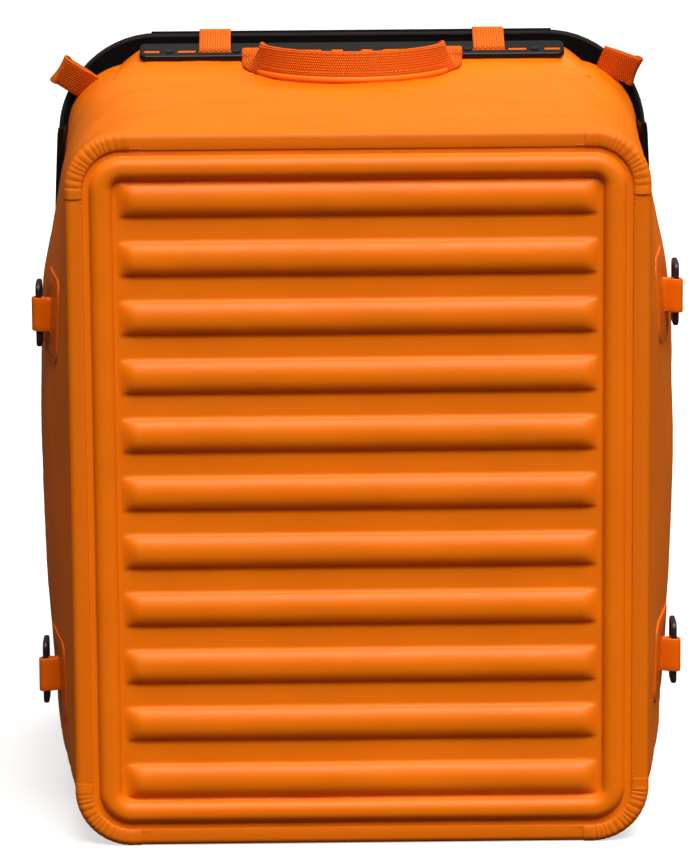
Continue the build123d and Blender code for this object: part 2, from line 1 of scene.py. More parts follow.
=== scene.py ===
# %% [markdown]
# # A box-shaped hiking backpack
# The frame, the joints and the sizes come from the CAD model. This lesson dresses that frame: a moulded
# ribbed front, taped edges, coated fabric walls, a black rim with a slotted rail, webbing, and a padded
# back that opens as a lid. Every soft piece is a surface worked out with numpy and placed where the CAD
# says.

# %% Load the frame
import math

import bmesh
import bpy
import numpy as np
from mathutils import Euler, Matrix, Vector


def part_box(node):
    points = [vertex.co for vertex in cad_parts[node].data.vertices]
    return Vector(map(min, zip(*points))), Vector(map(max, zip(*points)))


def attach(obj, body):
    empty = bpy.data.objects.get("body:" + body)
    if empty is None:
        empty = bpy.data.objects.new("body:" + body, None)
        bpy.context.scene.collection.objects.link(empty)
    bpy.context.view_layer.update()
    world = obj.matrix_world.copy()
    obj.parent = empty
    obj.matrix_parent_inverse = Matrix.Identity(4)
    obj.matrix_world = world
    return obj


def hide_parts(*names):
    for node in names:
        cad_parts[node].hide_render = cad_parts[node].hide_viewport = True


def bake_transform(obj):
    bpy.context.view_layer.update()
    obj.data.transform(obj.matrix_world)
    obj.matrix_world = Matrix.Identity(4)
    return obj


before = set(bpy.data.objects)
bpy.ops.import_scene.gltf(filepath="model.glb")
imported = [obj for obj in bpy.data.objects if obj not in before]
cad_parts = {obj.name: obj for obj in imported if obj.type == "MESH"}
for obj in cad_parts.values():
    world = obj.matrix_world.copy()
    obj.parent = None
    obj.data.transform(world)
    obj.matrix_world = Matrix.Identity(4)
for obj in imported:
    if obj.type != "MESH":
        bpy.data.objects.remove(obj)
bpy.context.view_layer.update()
MM = 0.001
PANEL = 5.0
FACE_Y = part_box("front_panel")[1].y - PANEL * MM
FACE_WIDTH = (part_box("seam_tape_corners")[1].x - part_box("seam_tape_corners")[0].x) / MM
FACE_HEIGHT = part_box("seam_tape_corners")[1].z / MM
MID_Z = FACE_HEIGHT / 2
print("front face", round(FACE_WIDTH, 1), "by", round(FACE_HEIGHT, 1), "mm at y", round(FACE_Y, 4))

# %% [markdown]
# ## Drawing with arrays
# Points are kept in millimetres as (across, depth behind the front face, up), because a maker thinks in
# those terms, and they turn into metres only when a mesh is made. A grid of points becomes quads; a profile
# carried along a path is also a grid, closed round the profile. Writing the UV map from the measured
# lengths lets a woven pattern follow any strap at its true scale.


# %% Grid to mesh
def measured(points, axis, wrap):
    """Distance along one grid direction, in metres: steps between neighbours, averaged over the other one."""
    if wrap:
        points = np.concatenate([points, np.take(points, [0], axis)], axis)
    steps = np.linalg.norm(np.diff(points, axis=axis), axis=-1).mean(1 - axis)
    return np.concatenate([[0], np.cumsum(steps)]) * MM


def surface(name, points, wrap=(False, False), caps=False, flip=False, sharp=None):
    """A mesh from a grid (rows, columns, 3): each cell is a quad, and wrap joins the last row or column to the
    first."""
    points = np.asarray(points, float)
    rows, columns = points.shape[:2]
    i, j = np.meshgrid(np.arange(rows - (not wrap[0])), np.arange(columns - (not wrap[1])), indexing="ij")
    corners = [(i, j), (i + 1, j), (i + 1, j + 1), (i, j + 1)]
    if flip:
        corners = corners[::-1]
    quads = np.stack([(a % rows) * columns + b % columns for a, b in corners], -1).reshape(-1, 4)
    along, around = measured(points, 0, wrap[0]), measured(points, 1, wrap[1])
    uv = np.stack([np.stack([along[a], around[b]], -1) for a, b in corners], 2).reshape(-1, 2)
    faces = quads.tolist()
    if caps:
        faces += [list(range(columns)), list(range((rows - 1) * columns, rows * columns))]
        uv = np.concatenate([uv, np.zeros((2 * columns, 2))])
    world = points.reshape(-1, 3) * MM + (0, FACE_Y, 0)
    mesh = bpy.data.meshes.new(name)
    mesh.from_pydata(world, [], faces)
    mesh.uv_layers.new(name="lengths").data.foreach_set("uv", uv.astype(np.float32).ravel())
    if caps or all(wrap):
        outward(mesh)
    mesh.polygons.foreach_set("use_smooth", np.ones(len(mesh.polygons), bool))
    if sharp:
        mesh.set_sharp_from_angle(angle=math.radians(sharp))
    piece = bpy.data.objects.new(name, mesh)
    bpy.context.scene.collection.objects.link(piece)
    return piece


def outward(mesh):
    """Turns every face of a closed mesh to point out."""
    bm = bmesh.new()
    bm.from_mesh(mesh)
    bmesh.ops.recalc_face_normals(bm, faces=bm.faces)
    bm.to_mesh(mesh)
    bm.free()


def join(name, pieces):
    """One object from several."""
    with bpy.context.temp_override(active_object=pieces[0], selected_editable_objects=pieces):
        bpy.ops.object.join()
    pieces[0].name = pieces[0].data.name = name
    return pieces[0]


def finish_piece(piece, body, material, replaces=()):
    """Gives a piece its material, hides the CAD parts it replaces, and lets it ride on its body."""
    piece.data.materials.clear()
    piece.data.materials.append(material)
    if replaces:
        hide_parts(*replaces)
    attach(piece, body)
    return piece


def at_depth(loop, depth):
    """A flat outline of (across, up) points, set at one depth."""
    return np.stack([loop[:, 0], np.full(len(loop), depth), loop[:, 1]], -1)


# %% Curves
def smooth_line(knots, count):
    """A Catmull-Rom curve through the knots: a cubic on each span, its slope at a knot joining the neighbours."""
    knots = np.asarray(knots, float)
    padded = np.concatenate([[2 * knots[0] - knots[1]], knots, [2 * knots[-1] - knots[-2]]])
    place = np.linspace(0, len(knots) - 1, count)
    span = np.minimum(place.astype(int), len(knots) - 2)
    t = (place - span)[:, None]
    a, b, c, d = (padded[span + k] for k in range(4))
    return b + 0.5 * t * (c - a + t * (2 * a - 5 * b + 4 * c - d + t * (3 * (b - c) + d - a)))


def even(line, count, closed=False):
    """The same line with evenly spaced points, found by its running length."""
    if closed:
        line = np.concatenate([line, line[:1]])
    length = np.concatenate([[0], np.cumsum(np.linalg.norm(np.diff(line, axis=0), axis=1))])
    at = np.linspace(0, length[-1], count, endpoint=not closed)
    return np.stack([np.interp(at, length, line[:, k]) for k in range(line.shape[1])], -1)


def unit(v):
    return v / np.linalg.norm(v, axis=-1, keepdims=True)


def slopes(line, closed=False):
    """Unit directions along a line, from the points either side of each."""
    if closed:
        return unit(np.roll(line, -1, 0) - np.roll(line, 1, 0))
    return unit(np.gradient(line, axis=0))


def tube(name, line, radius, closed=False, sides=10):
    """A round section carried along a line: a circle in the plane across the line's direction."""
    line = np.asarray(line, float)
    along = slopes(line, closed)
    lead = np.where(np.abs(along[:, 1:2]) < 0.9, [[0, 1.0, 0]], [[1.0, 0, 0]])
    side = unit(np.cross(along, lead))
    other = np.cross(along, side)
    angle = np.linspace(0, 2 * np.pi, sides, endpoint=False)
    radius = np.broadcast_to(np.asarray(radius, float), len(line))[:, None, None]
    ring = side[:, None] * np.cos(angle)[:, None] + other[:, None] * np.sin(angle)[:, None]
    return surface(name, line[:, None] + radius * ring, wrap=(closed, True), caps=not closed)


def strap(name, line, across, width, thickness, closed=False):
    """Webbing: a flat section with rounded edges, wide along `across` and thick along the line's normal."""
    line = np.asarray(line, float)
    along = slopes(line, closed)
    across = np.broadcast_to(np.asarray(across, float), line.shape)
    across = unit(across - along * np.sum(across * along, 1, keepdims=True))
    normal = np.cross(along, across)
    edge = thickness / 2
    bend = np.linspace(-np.pi / 2, np.pi / 2, 5)
    reach = np.linspace(-1, 1, 7)[1:-1] * (width / 2 - edge)
    right = np.stack([width / 2 - edge + edge * np.cos(bend), edge * np.sin(bend)], -1)
    top = np.stack([-reach, np.full_like(reach, edge)], -1)
    section = np.concatenate([right, top, -right, -top])
    points = line[:, None] + across[:, None] * section[:, 0:1] + normal[:, None] * section[:, 1:2]
    return surface(name, points, wrap=(closed, True), caps=not closed)


def box_loop(half_width, low, high, corner, bow=0.0, across=40, up=56, turn=14):
    """A rounded box outline: straight runs and quarter circles. Each side then moves out by bow times one
    minus the square of the height from the middle over half the height. Clockwise from the top left."""
    run, rise = np.linspace(0, 1, across, endpoint=False), np.linspace(0, 1, up, endpoint=False)
    angle = np.linspace(0, np.pi / 2, turn, endpoint=False)
    inner_x, top_z, low_z = half_width - corner, high - corner, low + corner
    half = np.concatenate([
        np.stack([inner_x * (2 * run - 1), np.full(across, high)], -1),
        np.stack([inner_x + corner * np.sin(angle), top_z + corner * np.cos(angle)], -1),
        np.stack([np.full(up, half_width), top_z + (low_z - top_z) * rise], -1),
        np.stack([inner_x + corner * np.cos(angle), low_z - corner * np.sin(angle)], -1),
    ])
    loop = np.concatenate([half, (0, low + high) - half])
    level = (loop[:, 1] - (low + high) / 2) / ((high - low) / 2)
    loop[:, 0] *= 1 + bow / half_width * (1 - level**2)
    return loop


def waves(a, b, seed, longest, count=10):
    """Smooth unevenness between about -1 and 1: a sum of cosines in seeded directions and wavelengths."""
    rng = np.random.default_rng(seed)
    turn, size = rng.uniform(0, np.pi, count), longest * rng.uniform(0.35, 1, count)
    phase = rng.uniform(0, 2 * np.pi, count)
    total = np.zeros(np.broadcast(a, b).shape)
    for k in range(count):
        total += np.cos(2 * np.pi * (a * np.cos(turn[k]) + b * np.sin(turn[k])) / size[k] + phase[k])
    return total / math.sqrt(count)


# %% [markdown]
# ## Finishes
# Each finish is a Principled shader with its pattern from nodes. The coated fabric and the moulded face
# share one orange, with a fine grain; webbing takes its weave from the lengths in its UV map, so that the
# threads turn with the strap; the black parts differ mostly in how they shine, which is what tells them
# apart on the real pack.


# %% Node helpers
def new_finish(name, color, roughness, **sockets):
    """A material with one Principled shader, whose plain numbers are set on its own sockets."""
    material = bpy.data.materials.new(name)
    material.use_nodes = True
    nodes, links = material.node_tree.nodes, material.node_tree.links
    shader = nodes["Principled BSDF"]
    shader.inputs["Base Color"].default_value = (*color, 1)
    shader.inputs["Roughness"].default_value = roughness
    for socket, value in sockets.items():
        shader.inputs[socket.replace("_", " ")].default_value = value
    return material, nodes, links, shader


def sum_of(nodes, links, operation, a, b=None, c=None):
    """One Math node, with numbers or sockets for its inputs."""
    node = nodes.new("ShaderNodeMath")
    node.operation = operation
    for k, value in enumerate(v for v in (a, b, c) if v is not None):
        if isinstance(value, (int, float)):
            node.inputs[k].default_value = value
        else:
            links.new(value, node.inputs[k])
    return node.outputs[0]


def noise(nodes, links, scale, detail=2.0, stretch=None):
    """Object-space noise, optionally stretched along an axis."""
    where = nodes.new("ShaderNodeTexCoord").outputs["Object"]
    if stretch:
        mapping = nodes.new("ShaderNodeMapping")
        mapping.inputs["Scale"].default_value = stretch
        links.new(where, mapping.inputs["Vector"])
        where = mapping.outputs["Vector"]
    texture = nodes.new("ShaderNodeTexNoise")
    texture.inputs["Scale"].default_value = scale
    texture.inputs["Detail"].default_value = detail
    links.new(where, texture.inputs["Vector"])
    return texture.outputs["Fac"]


def tint(nodes, links, shader, factor, dark, light):
    """Colour between two shades, by a pattern."""
    ramp = nodes.new("ShaderNodeValToRGB")
    ramp.color_ramp.elements[0].position, ramp.color_ramp.elements[1].position = 0.3, 0.7
    ramp.color_ramp.elements[0].color = (*dark, 1)
    ramp.color_ramp.elements[1].color = (*light, 1)
    links.new(factor, ramp.inputs[0])
    links.new(ramp.outputs[0], shader.inputs["Base Color"])


def roughen(nodes, links, shader, factor, low, high):
    """Roughness between two values, by a pattern."""
    span = nodes.new("ShaderNodeMapRange")
    span.inputs["To Min"].default_value, span.inputs["To Max"].default_value = low, high
    links.new(factor, span.inputs["Value"])
    links.new(span.outputs[0], shader.inputs["Roughness"])


def bump(nodes, links, shader, height, distance, strength=1.0, over=None):
    """Surface relief from a pattern, in metres, on top of another bump."""
    node = nodes.new("ShaderNodeBump")
    node.inputs["Distance"].default_value = distance
    node.inputs["Strength"].default_value = strength
    links.new(height, node.inputs["Height"])
    if over:
        links.new(over, node.inputs["Normal"])
    links.new(node.outputs[0], shader.inputs["Normal"])
    return node.outputs[0]


# %% Coated and moulded fabric
ORANGE = (0.82, 0.165, 0.0008)
DEEP_ORANGE = (0.76, 0.125, 0.0008)
WEB_ORANGE = (0.86, 0.150, 0.004)


def shade(color, by):
    return tuple(min(1.0, c * by) for c in color)


def coated(name, color, roughness, grain, relief):
    """Laminated fabric: a satin skin with a fine leathery grain, a little cloudy in colour and in gloss."""
    material, nodes, links, shader = new_finish(name, color, roughness, Specular_IOR_Level=0.22)
    cloud = noise(nodes, links, 14, 3)
    tint(nodes, links, shader, cloud, shade(color, 0.95), shade(color, 1.04))
    roughen(nodes, links, shader, noise(nodes, links, 60, 3), roughness - 0.05, roughness + 0.08)
    soft = bump(nodes, links, shader, noise(nodes, links, 70, 2), 0.0006, 0.25)
    bump(nodes, links, shader, noise(nodes, links, grain, 4), relief, 0.6, over=soft)
    return material


wall_fabric = coated("wall_fabric", ORANGE, 0.40, 900, 0.00010)
face_fabric = coated("face_fabric", ORANGE, 0.44, 1300, 0.00012)
patch_fabric = coated("patch_fabric", DEEP_ORANGE, 0.36, 900, 0.00008)
tab_fabric = coated("tab_fabric", shade(DEEP_ORANGE, 1.02), 0.34, 700, 0.00006)


# %% Woven finishes
def woven(name, color, rib, pick, relief, roughness=0.72, sheen=0.06, deep=0.5, shine=0.18):
    """Webbing: ribs along the strap and picks across it, each pick shifted half a step from the next rib's.
    Both come from sines of the lengths in the UV map, in metres."""
    material, nodes, links, shader = new_finish(
        name, color, roughness, Specular_IOR_Level=shine, Sheen_Weight=sheen, Sheen_Roughness=0.5
    )
    lengths = nodes.new("ShaderNodeUVMap")
    lengths.uv_map = "lengths"
    split = nodes.new("ShaderNodeSeparateXYZ")
    links.new(lengths.outputs[0], split.inputs[0])
    along, around = split.outputs[0], split.outputs[1]
    step = sum_of(nodes, links, "DIVIDE", around, rib)
    shift = sum_of(nodes, links, "MULTIPLY", sum_of(nodes, links, "FLOOR", step), math.pi)
    pick_wave = sum_of(
        nodes, links, "SINE", sum_of(nodes, links, "MULTIPLY_ADD", along, 2 * math.pi / pick, shift)
    )
    rib_sine = sum_of(nodes, links, "SINE", sum_of(nodes, links, "MULTIPLY", step, math.pi))
    rib_wave = sum_of(nodes, links, "ABSOLUTE", rib_sine)
    pick_height = sum_of(nodes, links, "MULTIPLY_ADD", pick_wave, 0.4, 0.6)
    height = sum_of(nodes, links, "MULTIPLY", rib_wave, pick_height)
    # The base colour follows the weave's height: painted shade in the low parts between the threads, painted
    # highlight on the raised threads.
    tint(nodes, links, shader, height, shade(color, deep), shade(color, 1.15))
    first = bump(nodes, links, shader, height, relief, 0.9)
    bump(nodes, links, shader, noise(nodes, links, 2500, 2), 0.00008, 0.5, over=first)
    return material


orange_webbing = woven("orange_webbing", WEB_ORANGE, 0.0019, 0.0017, 0.00045, sheen=0.0)
binding = woven("binding_tape", shade(ORANGE, 0.95), 0.0007, 0.0007, 0.00005, 0.5, 0.0, deep=0.88)
black_webbing = woven("black_webbing", (0.016, 0.016, 0.017), 0.0016, 0.0015, 0.0003, sheen=0.03, shine=0.12)
black_cloth = woven("black_cloth", (0.0035, 0.0035, 0.004), 0.0011, 0.0011, 0.00012, 0.75, 0.0, shine=0.05)


def cloth(name, color, thread, relief, roughness=0.75, sheen=0.3):
    """Plain weave on Object coordinates: two crossed sets of sines, for pieces with no UV lengths."""
    material, nodes, links, shader = new_finish(
        name, color, roughness, Specular_IOR_Level=0.3, Sheen_Weight=sheen, Sheen_Roughness=0.45
    )
    split = nodes.new("ShaderNodeSeparateXYZ")
    links.new(nodes.new("ShaderNodeTexCoord").outputs["Object"], split.inputs[0])
    turn = 2 * math.pi / thread
    turned = [sum_of(nodes, links, "MULTIPLY", split.outputs[k], turn) for k in (0, 2)]
    across, up = (sum_of(nodes, links, "SINE", angle) for angle in turned)
    height = sum_of(nodes, links, "MULTIPLY", across, up)
    level = sum_of(nodes, links, "MULTIPLY_ADD", height, 0.5, 0.5)
    # The base colour follows the weave's height: painted shade where the threads dip, painted highlight where
    # they stand on top.
    tint(nodes, links, shader, level, shade(color, 0.6), shade(color, 1.5))
    first = bump(nodes, links, shader, height, relief, 0.8)
    bump(nodes, links, shader, noise(nodes, links, 40, 3), 0.0008, 0.3, over=first)
    return material


spacer_mesh = cloth("spacer_mesh", (0.032, 0.032, 0.035), 0.0034, 0.0005, sheen=0.1)
lining_cloth = woven("lining_cloth", (0.16, 0.165, 0.17), 0.0014, 0.0014, 0.00006, 0.6, 0.0, deep=0.85)


# %% Plastics and metal
def moulded(name, color, roughness, grain, relief, shine=0.4):
    """Injection-moulded plastic: even colour, faint ripple, tiny scuffs in its gloss."""
    material, nodes, links, shader = new_finish(name, color, roughness, Specular_IOR_Level=shine)
    roughen(nodes, links, shader, noise(nodes, links, 220, 4), roughness * 0.8, roughness * 1.5)
    tint(nodes, links, shader, noise(nodes, links, 30, 2), shade(color, 0.8), shade(color, 1.3))
    bump(nodes, links, shader, noise(nodes, links, grain, 2), relief, 0.5)
    return material


rail_plastic = moulded("rail_plastic", (0.004, 0.004, 0.004), 0.13, 90, 0.0003, 0.22)
buckle_plastic = moulded("buckle_plastic", (0.012, 0.012, 0.013), 0.36, 1400, 0.00006)
board_sheet = moulded("board_sheet", (0.55, 0.55, 0.53), 0.5, 400, 0.0001)
coil_plastic = moulded("coil_plastic", (0.014, 0.014, 0.015), 0.42, 900, 0.00005)


def metal(name, color, roughness):
    """Drawn metal: brushed along its length by stretched noise in roughness and relief."""
    material, nodes, links, shader = new_finish(name, color, roughness, Metallic=1.0)
    lines = noise(nodes, links, 300, 3, stretch=(1, 1, 0.04))
    roughen(nodes, links, shader, lines, roughness * 0.8, roughness * 1.4)
    bump(nodes, links, shader, lines, 0.00004, 0.4)
    return material


satin_metal = metal("satin_metal", (0.70, 0.70, 0.72), 0.32)
slider_metal = metal("slider_metal", (0.06, 0.06, 0.065), 0.35)
print(len(bpy.data.materials), "finishes")

# %% [markdown]
# ## The moulded front
# The face is foam pressed between two fabrics: a broad ridge round the edge and eleven half-round ribs. A
# height over a flat grid is the natural way to draw pressed foam. Grid lines crowd together where a rib's
# edge is steep, so the crease stays crisp without a fine mesh on the flats.

# %% Ribbed panel
RELIEF = 5.4
RIB_COUNT, RIB_PITCH, RIB_HALF = 11, 41.0, 11.4
RIB_END, RIB_FADE = 165.0, 13.0
RIDGE_OUT, RIDGE_IN = 17.0, 32.5          # ridge edges, in from the face's edge


def crest(t, power=2.3, fall=0.72):
    """A half-round section: one minus a power of the distance from its middle, raised to a lower power."""
    return np.clip(1 - np.abs(t) ** power, 0, 1) ** fall


rib_middles = MID_Z + (np.arange(RIB_COUNT) - (RIB_COUNT - 1) / 2) * RIB_PITCH
round_steps = np.sin(np.linspace(-np.pi / 2, np.pi / 2, 19))
rib_lines = (rib_middles[:, None] + RIB_HALF * round_steps * 1.0005).ravel()
flat_lines = (rib_middles[:-1, None] + RIB_PITCH / 2 + np.array([-6.0, 0, 6.0])).ravel()
edge_lines = MID_Z + 227 * np.array([-1, 1])
up_lines = np.unique(np.concatenate([rib_lines, flat_lines, edge_lines]))
end_steps = RIB_END - RIB_FADE * (1 - np.sin(np.linspace(0, np.pi / 2, 12)))
across_lines = np.concatenate([-end_steps[::-1], np.linspace(-150, 150, 41), end_steps])
across_lines = np.concatenate([[-176], across_lines, [176]])
grid_x, grid_z = np.meshgrid(across_lines, up_lines)
nearest = rib_middles[np.abs(grid_z[..., None] - rib_middles).argmin(-1)]
rib_end = np.clip((np.abs(grid_x) - (RIB_END - RIB_FADE)) / RIB_FADE, 0, 1)
fade = np.cos(rib_end * np.pi / 2) ** 1.4
rib_height = RELIEF * crest((grid_z - nearest) / RIB_HALF) * fade
uneven = 0.16 * waves(grid_x, grid_z, 4, 150) + 0.10 * waves(grid_x, grid_z, 5, 45)
panel_points = np.stack([grid_x, 0.4 - rib_height * (1 + 0.15 * uneven) - 0.35 * uneven, grid_z], -1)
ribbed_panel = surface("ribbed_panel", panel_points)
finish_piece(ribbed_panel, "body", face_fabric, ["front_panel"])
print("ribbed panel", panel_points.shape[0] * panel_points.shape[1], "points")


# %% Perimeter ridge
def face_loop(inset, **steps):
    """The face's outline, some way in from its edge."""
    return box_loop(FACE_WIDTH / 2 - inset, inset, FACE_HEIGHT - inset, max(40 - inset, 5.0), **steps)


ridge_half = (RIDGE_IN - RIDGE_OUT) / 2
ridge_place = np.sin(np.linspace(-np.pi / 2, np.pi / 2, 21))
ridge_inset = np.concatenate([[9, 13.5, 15.8], RIDGE_OUT + ridge_half * (1 + ridge_place), [33.6, 36.5]])
ridge_up = np.concatenate([[0.1, 0, 0], RELIEF * crest(ridge_place, 2.5, 0.66), [-0.25, -0.7]])
ridge_rows = []
for inset, up in zip(ridge_inset, ridge_up):
    loop = face_loop(inset, turn=20)
    ripple = 0.10 * waves(loop[:, 0], loop[:, 1], 9, 120) * (up > 0.1)
    ridge_rows.append(np.stack([loop[:, 0], -up + ripple, loop[:, 1]], -1))
front_ridge = surface("front_ridge", ridge_rows, wrap=(False, True))
finish_piece(front_ridge, "body", face_fabric, ["front_panel"])

# %% [markdown]
# ## Binding tape
# The face is joined to the walls by a folded tape. It runs straight between the corners and is gathered
# round them, where it would otherwise be too long on its inner edge. One profile, carried along the face's
# edge, makes all eight lengths; on the corners a ripple across the tape stands for the gathers.

# %% Tape profile and lengths
TAPE_FACE, TAPE_BACK, TAPE_ROUND = 12.4, 8.5, 5.0
turn_steps = np.linspace(0, np.pi / 2, 8)
tape_inset = np.concatenate([
    [0.3, 0.05], TAPE_ROUND * (1 - np.cos(turn_steps)), [8.5, 11.2, TAPE_FACE - 0.3, TAPE_FACE],
])
tape_depth = np.concatenate([
    [TAPE_BACK, 6.8], -1.2 + TAPE_ROUND * (1 - np.sin(turn_steps)), [-1.25, -1.15, -0.9, 0.1],
])
inner_inset = np.array([TAPE_FACE - 1, 4.0, 1.8, 1.6])
inner_depth = np.array([0.3, 0.5, 3.0, TAPE_BACK - 0.2])
section_inset = np.concatenate([tape_inset, inner_inset])
section_depth = np.concatenate([tape_depth, inner_depth])
TOP, TURN, SIDE = 60, 72, 80
LOOP = 2 * (TOP + TURN + SIDE + TURN)


def tape_length(name, start, stop, lift, gathers):
    """The tape between two places on the outline: its closed section at each, gathered by a wave over it."""
    steps = dict(across=TOP, up=SIDE, turn=TURN)
    places = np.arange(start, stop + 1) % LOOP
    columns = []
    for inset, depth in zip(section_inset, section_depth):
        loop = face_loop(inset, **steps)[places]
        columns.append(at_depth(loop, depth))
    points = np.stack(columns, 1)
    rim_line = points[:, 2]
    outside = unit(np.stack([rim_line[:, 0], np.zeros(len(places)), rim_line[:, 2] - MID_Z], -1))
    outer = np.zeros(points.shape[1])
    outer[: len(tape_inset)] = np.concatenate([[0.3, 0.6], np.ones(8), [0.9, 0.7, 0.4, 0]])
    wave = lift + gathers * np.abs(np.sin(np.arange(len(places)) * 0.58 + 0.8 * np.sin(places * 0.23))) ** 0.6
    push = wave[:, None, None] * outer[:, None]
    points[..., 1] -= push[..., 0]
    points += np.minimum(outside, 0.999)[:, None] * push * 0.25 * (points[..., 1:2] > 0)
    return surface(name, points, wrap=(False, True), caps=True, sharp=50)


runs = {
    "seam_tape_top": (0, TOP),
    "seam_tape_right": (TOP + TURN, TOP + TURN + SIDE),
    "seam_tape_bottom": (TOP + 2 * TURN + SIDE, 2 * TOP + 2 * TURN + SIDE),
    "seam_tape_left": (2 * TOP + 3 * TURN + SIDE, LOOP - TURN),
}
for node, (start, stop) in runs.items():
    tape = tape_length(node.replace("seam", "binding"), start, stop, 0.0, 0.0)
    finish_piece(tape, "body", binding, [node])
corner_starts = [TOP, TOP + TURN + SIDE, 2 * TOP + 2 * TURN + SIDE, LOOP - TURN]
LIFT, GATHERS = 0.45, 0.65
corners = [
    tape_length(f"tape_corner_{k}", s - 1, s + TURN + 1, LIFT, GATHERS) for k, s in enumerate(corner_starts)
]
gathered = join("binding_corners", corners)
finish_piece(gathered, "body", binding, ["seam_tape_corners"])


# %% Stitches
def stitch_row(name, line, facing, body, material, pitch=3.2, length=2.2, radius=0.28):
    """Thread: small six-sided beads, stretched along the seam and spaced evenly on it."""
    total = np.linalg.norm(np.diff(line, axis=0), axis=1).sum()
    count = max(2, int(total / pitch))
    spots = even(np.asarray(line, float), count)
    along = slopes(spots)
    out = np.broadcast_to(np.asarray(facing, float), spots.shape)
    side = unit(np.cross(along, out))
    lift = np.cross(side, along)
    angle = np.linspace(0, 2 * np.pi, 6, endpoint=False)
    place = np.array([-0.5, -0.3, 0.3, 0.5])
    size = np.array([0.25, 1, 1, 0.25])
    ring = side[:, None, None] * np.cos(angle)[:, None] + lift[:, None, None] * np.sin(angle)[:, None]
    beads = spots[:, None, None] + along[:, None, None] * (place * length)[:, None, None]
    beads = beads + ring * radius * size[:, None, None]
    world = beads.reshape(-1, 3) * MM + (0, FACE_Y, 0)
    base = np.arange(count)[:, None] * 24
    i, j = np.meshgrid(np.arange(3), np.arange(6), indexing="ij")
    after = (j + 1) % 6
    quad = np.stack([i * 6 + j, (i + 1) * 6 + j, (i + 1) * 6 + after, i * 6 + after], -1).reshape(1, -1)
    quads = (base + quad).reshape(-1, 4).tolist()
    ends = np.concatenate([base + np.arange(6), base + 18 + np.arange(6)]).tolist()
    mesh = bpy.data.meshes.new(name)
    mesh.from_pydata(world, [], quads + ends)
    outward(mesh)
    mesh.polygons.foreach_set("use_smooth", np.ones(len(mesh.polygons), bool))
    piece = bpy.data.objects.new(name, mesh)
    bpy.context.scene.collection.objects.link(piece)
    return finish_piece(piece, body, material)


thread_orange = coated("orange_thread", shade(WEB_ORANGE, 1.15), 0.5, 900, 0.00004)
thread_black = coated("black_thread", (0.03, 0.03, 0.032), 0.5, 900, 0.00004)
seam = face_loop(TAPE_FACE - 1.4, across=TOP, up=SIDE, turn=TURN)
for k, start in enumerate(corner_starts):
    places = np.arange(start - 2, start + TURN + 3) % LOOP
    line = np.stack([seam[places, 0], np.full(len(places), -1.5), seam[places, 1]], -1)
    stitch_row(f"tape_stitches_{k}", line, (0, -1, 0), "body", thread_orange, 2.9, 2.0)

# %% [markdown]
# ## Walls
# One sheet of coated fabric wraps the box. Its outline grows and bows from the face to the rim, so the
# shell is a loft: a rounded box outline at every depth, with its sizes on a parabola through three known
# sections. Foam and fabric never lie quite flat, so a slow unevenness is added along the wall's own normal,
# dying out at both ends.

# %% Wall sections
RIM_DEPTH, ZIP_DEPTH = 356.0, 370.0
SECTION_DEPTHS = np.array([5.0, 180.0, 356.0])
SECTIONS = {
    "half_width": np.array([197.6, 211.0, 212.0]),
    "low": np.array([1.8, 1.2, 1.2]),
    "high": np.array([501.7, 500.0, 503.0]),
    "bow": np.array([0.3, 17.5, 5.0]),
    "corner": np.array([38.0, 62.0, 50.0]),
}
parabolas = {key: np.polyfit(SECTION_DEPTHS, values, 2) for key, values in SECTIONS.items()}


def section(key, depth):
    return np.polyval(parabolas[key], depth)


def shoulder(depth, z):
    """The foam is fuller at the bottom than at the top: a factor on the width, 4% less above and 2% more
    below, by smooth steps in height and a half sine in depth."""
    top, foot = np.clip((z - 365) / 90, 0, 1), np.clip((95 - z) / 70, 0, 1)
    step = 0.038 * top**2 * (3 - 2 * top) - 0.018 * foot**2 * (3 - 2 * foot)
    return 1 - step * np.sin(np.pi * np.clip(depth / RIM_DEPTH, 0, 1)) ** 0.7


def wall_loop(depth, offset=0.0):
    """The wall's outline at one depth, moved outward by an offset."""
    size = {key: section(key, depth) for key in SECTIONS}
    loop = box_loop(
        size["half_width"] + offset, size["low"] - offset, size["high"] + offset,
        size["corner"] + offset, size["bow"],
    )
    loop[:, 0] *= shoulder(depth, loop[:, 1])
    return loop


def side_x(depth, z):
    """How far out the side wall is, at a depth and a height: half the width plus what is left of the bow."""
    low, high = section("low", depth), section("high", depth)
    level = (z - (low + high) / 2) / ((high - low) / 2)
    return (section("half_width", depth) + section("bow", depth) * (1 - level**2)) * shoulder(depth, z)


# %% Wall shell
wall_depths = np.concatenate([np.linspace(1.5, 24, 8), np.linspace(32, 340, 45), np.linspace(346, 358, 4)])
shell = []
for depth in wall_depths:
    loop = wall_loop(depth)
    shell.append(at_depth(loop, depth))
shell = np.array(shell)
around = np.roll(shell, -1, 1) - np.roll(shell, 1, 1)
normal = unit(np.stack([-around[..., 2], np.zeros(around.shape[:2]), around[..., 0]], -1))
ends = np.clip((wall_depths - 14) / 40, 0, 1) * np.clip((RIM_DEPTH - 6 - wall_depths) / 30, 0, 1)
on_top = np.clip(normal[..., 2], 0, 1)
soft = waves(shell[..., 0] + shell[..., 2], shell[..., 1] * 1.6, 21, 210)
fine = waves(shell[..., 0], shell[..., 1] * 2.2 + shell[..., 2] * 0.8, 22, 70)
crease = np.maximum(0, waves(shell[..., 0] * 0.6, shell[..., 1] * 3 + shell[..., 2], 23, 160) - 0.6)
from_corner, from_dent = (np.abs(shell[..., 0]) - 178) / 20, (shell[..., 1] - 110) / 90
corner_dent = np.exp(-(from_corner**2) - from_dent**2) * on_top
uneven = (0.55 + 0.5 * on_top) * soft * 0.7 + 0.22 * fine - 0.9 * crease * (0.4 + on_top) - 1.6 * corner_dent
shell += normal * (uneven * ends[:, None])[..., None]
shell[..., 2] = np.clip(shell[..., 2], 0.6, None)
wall_wrap = surface("wall_wrap", shell, wrap=(False, True), flip=True)
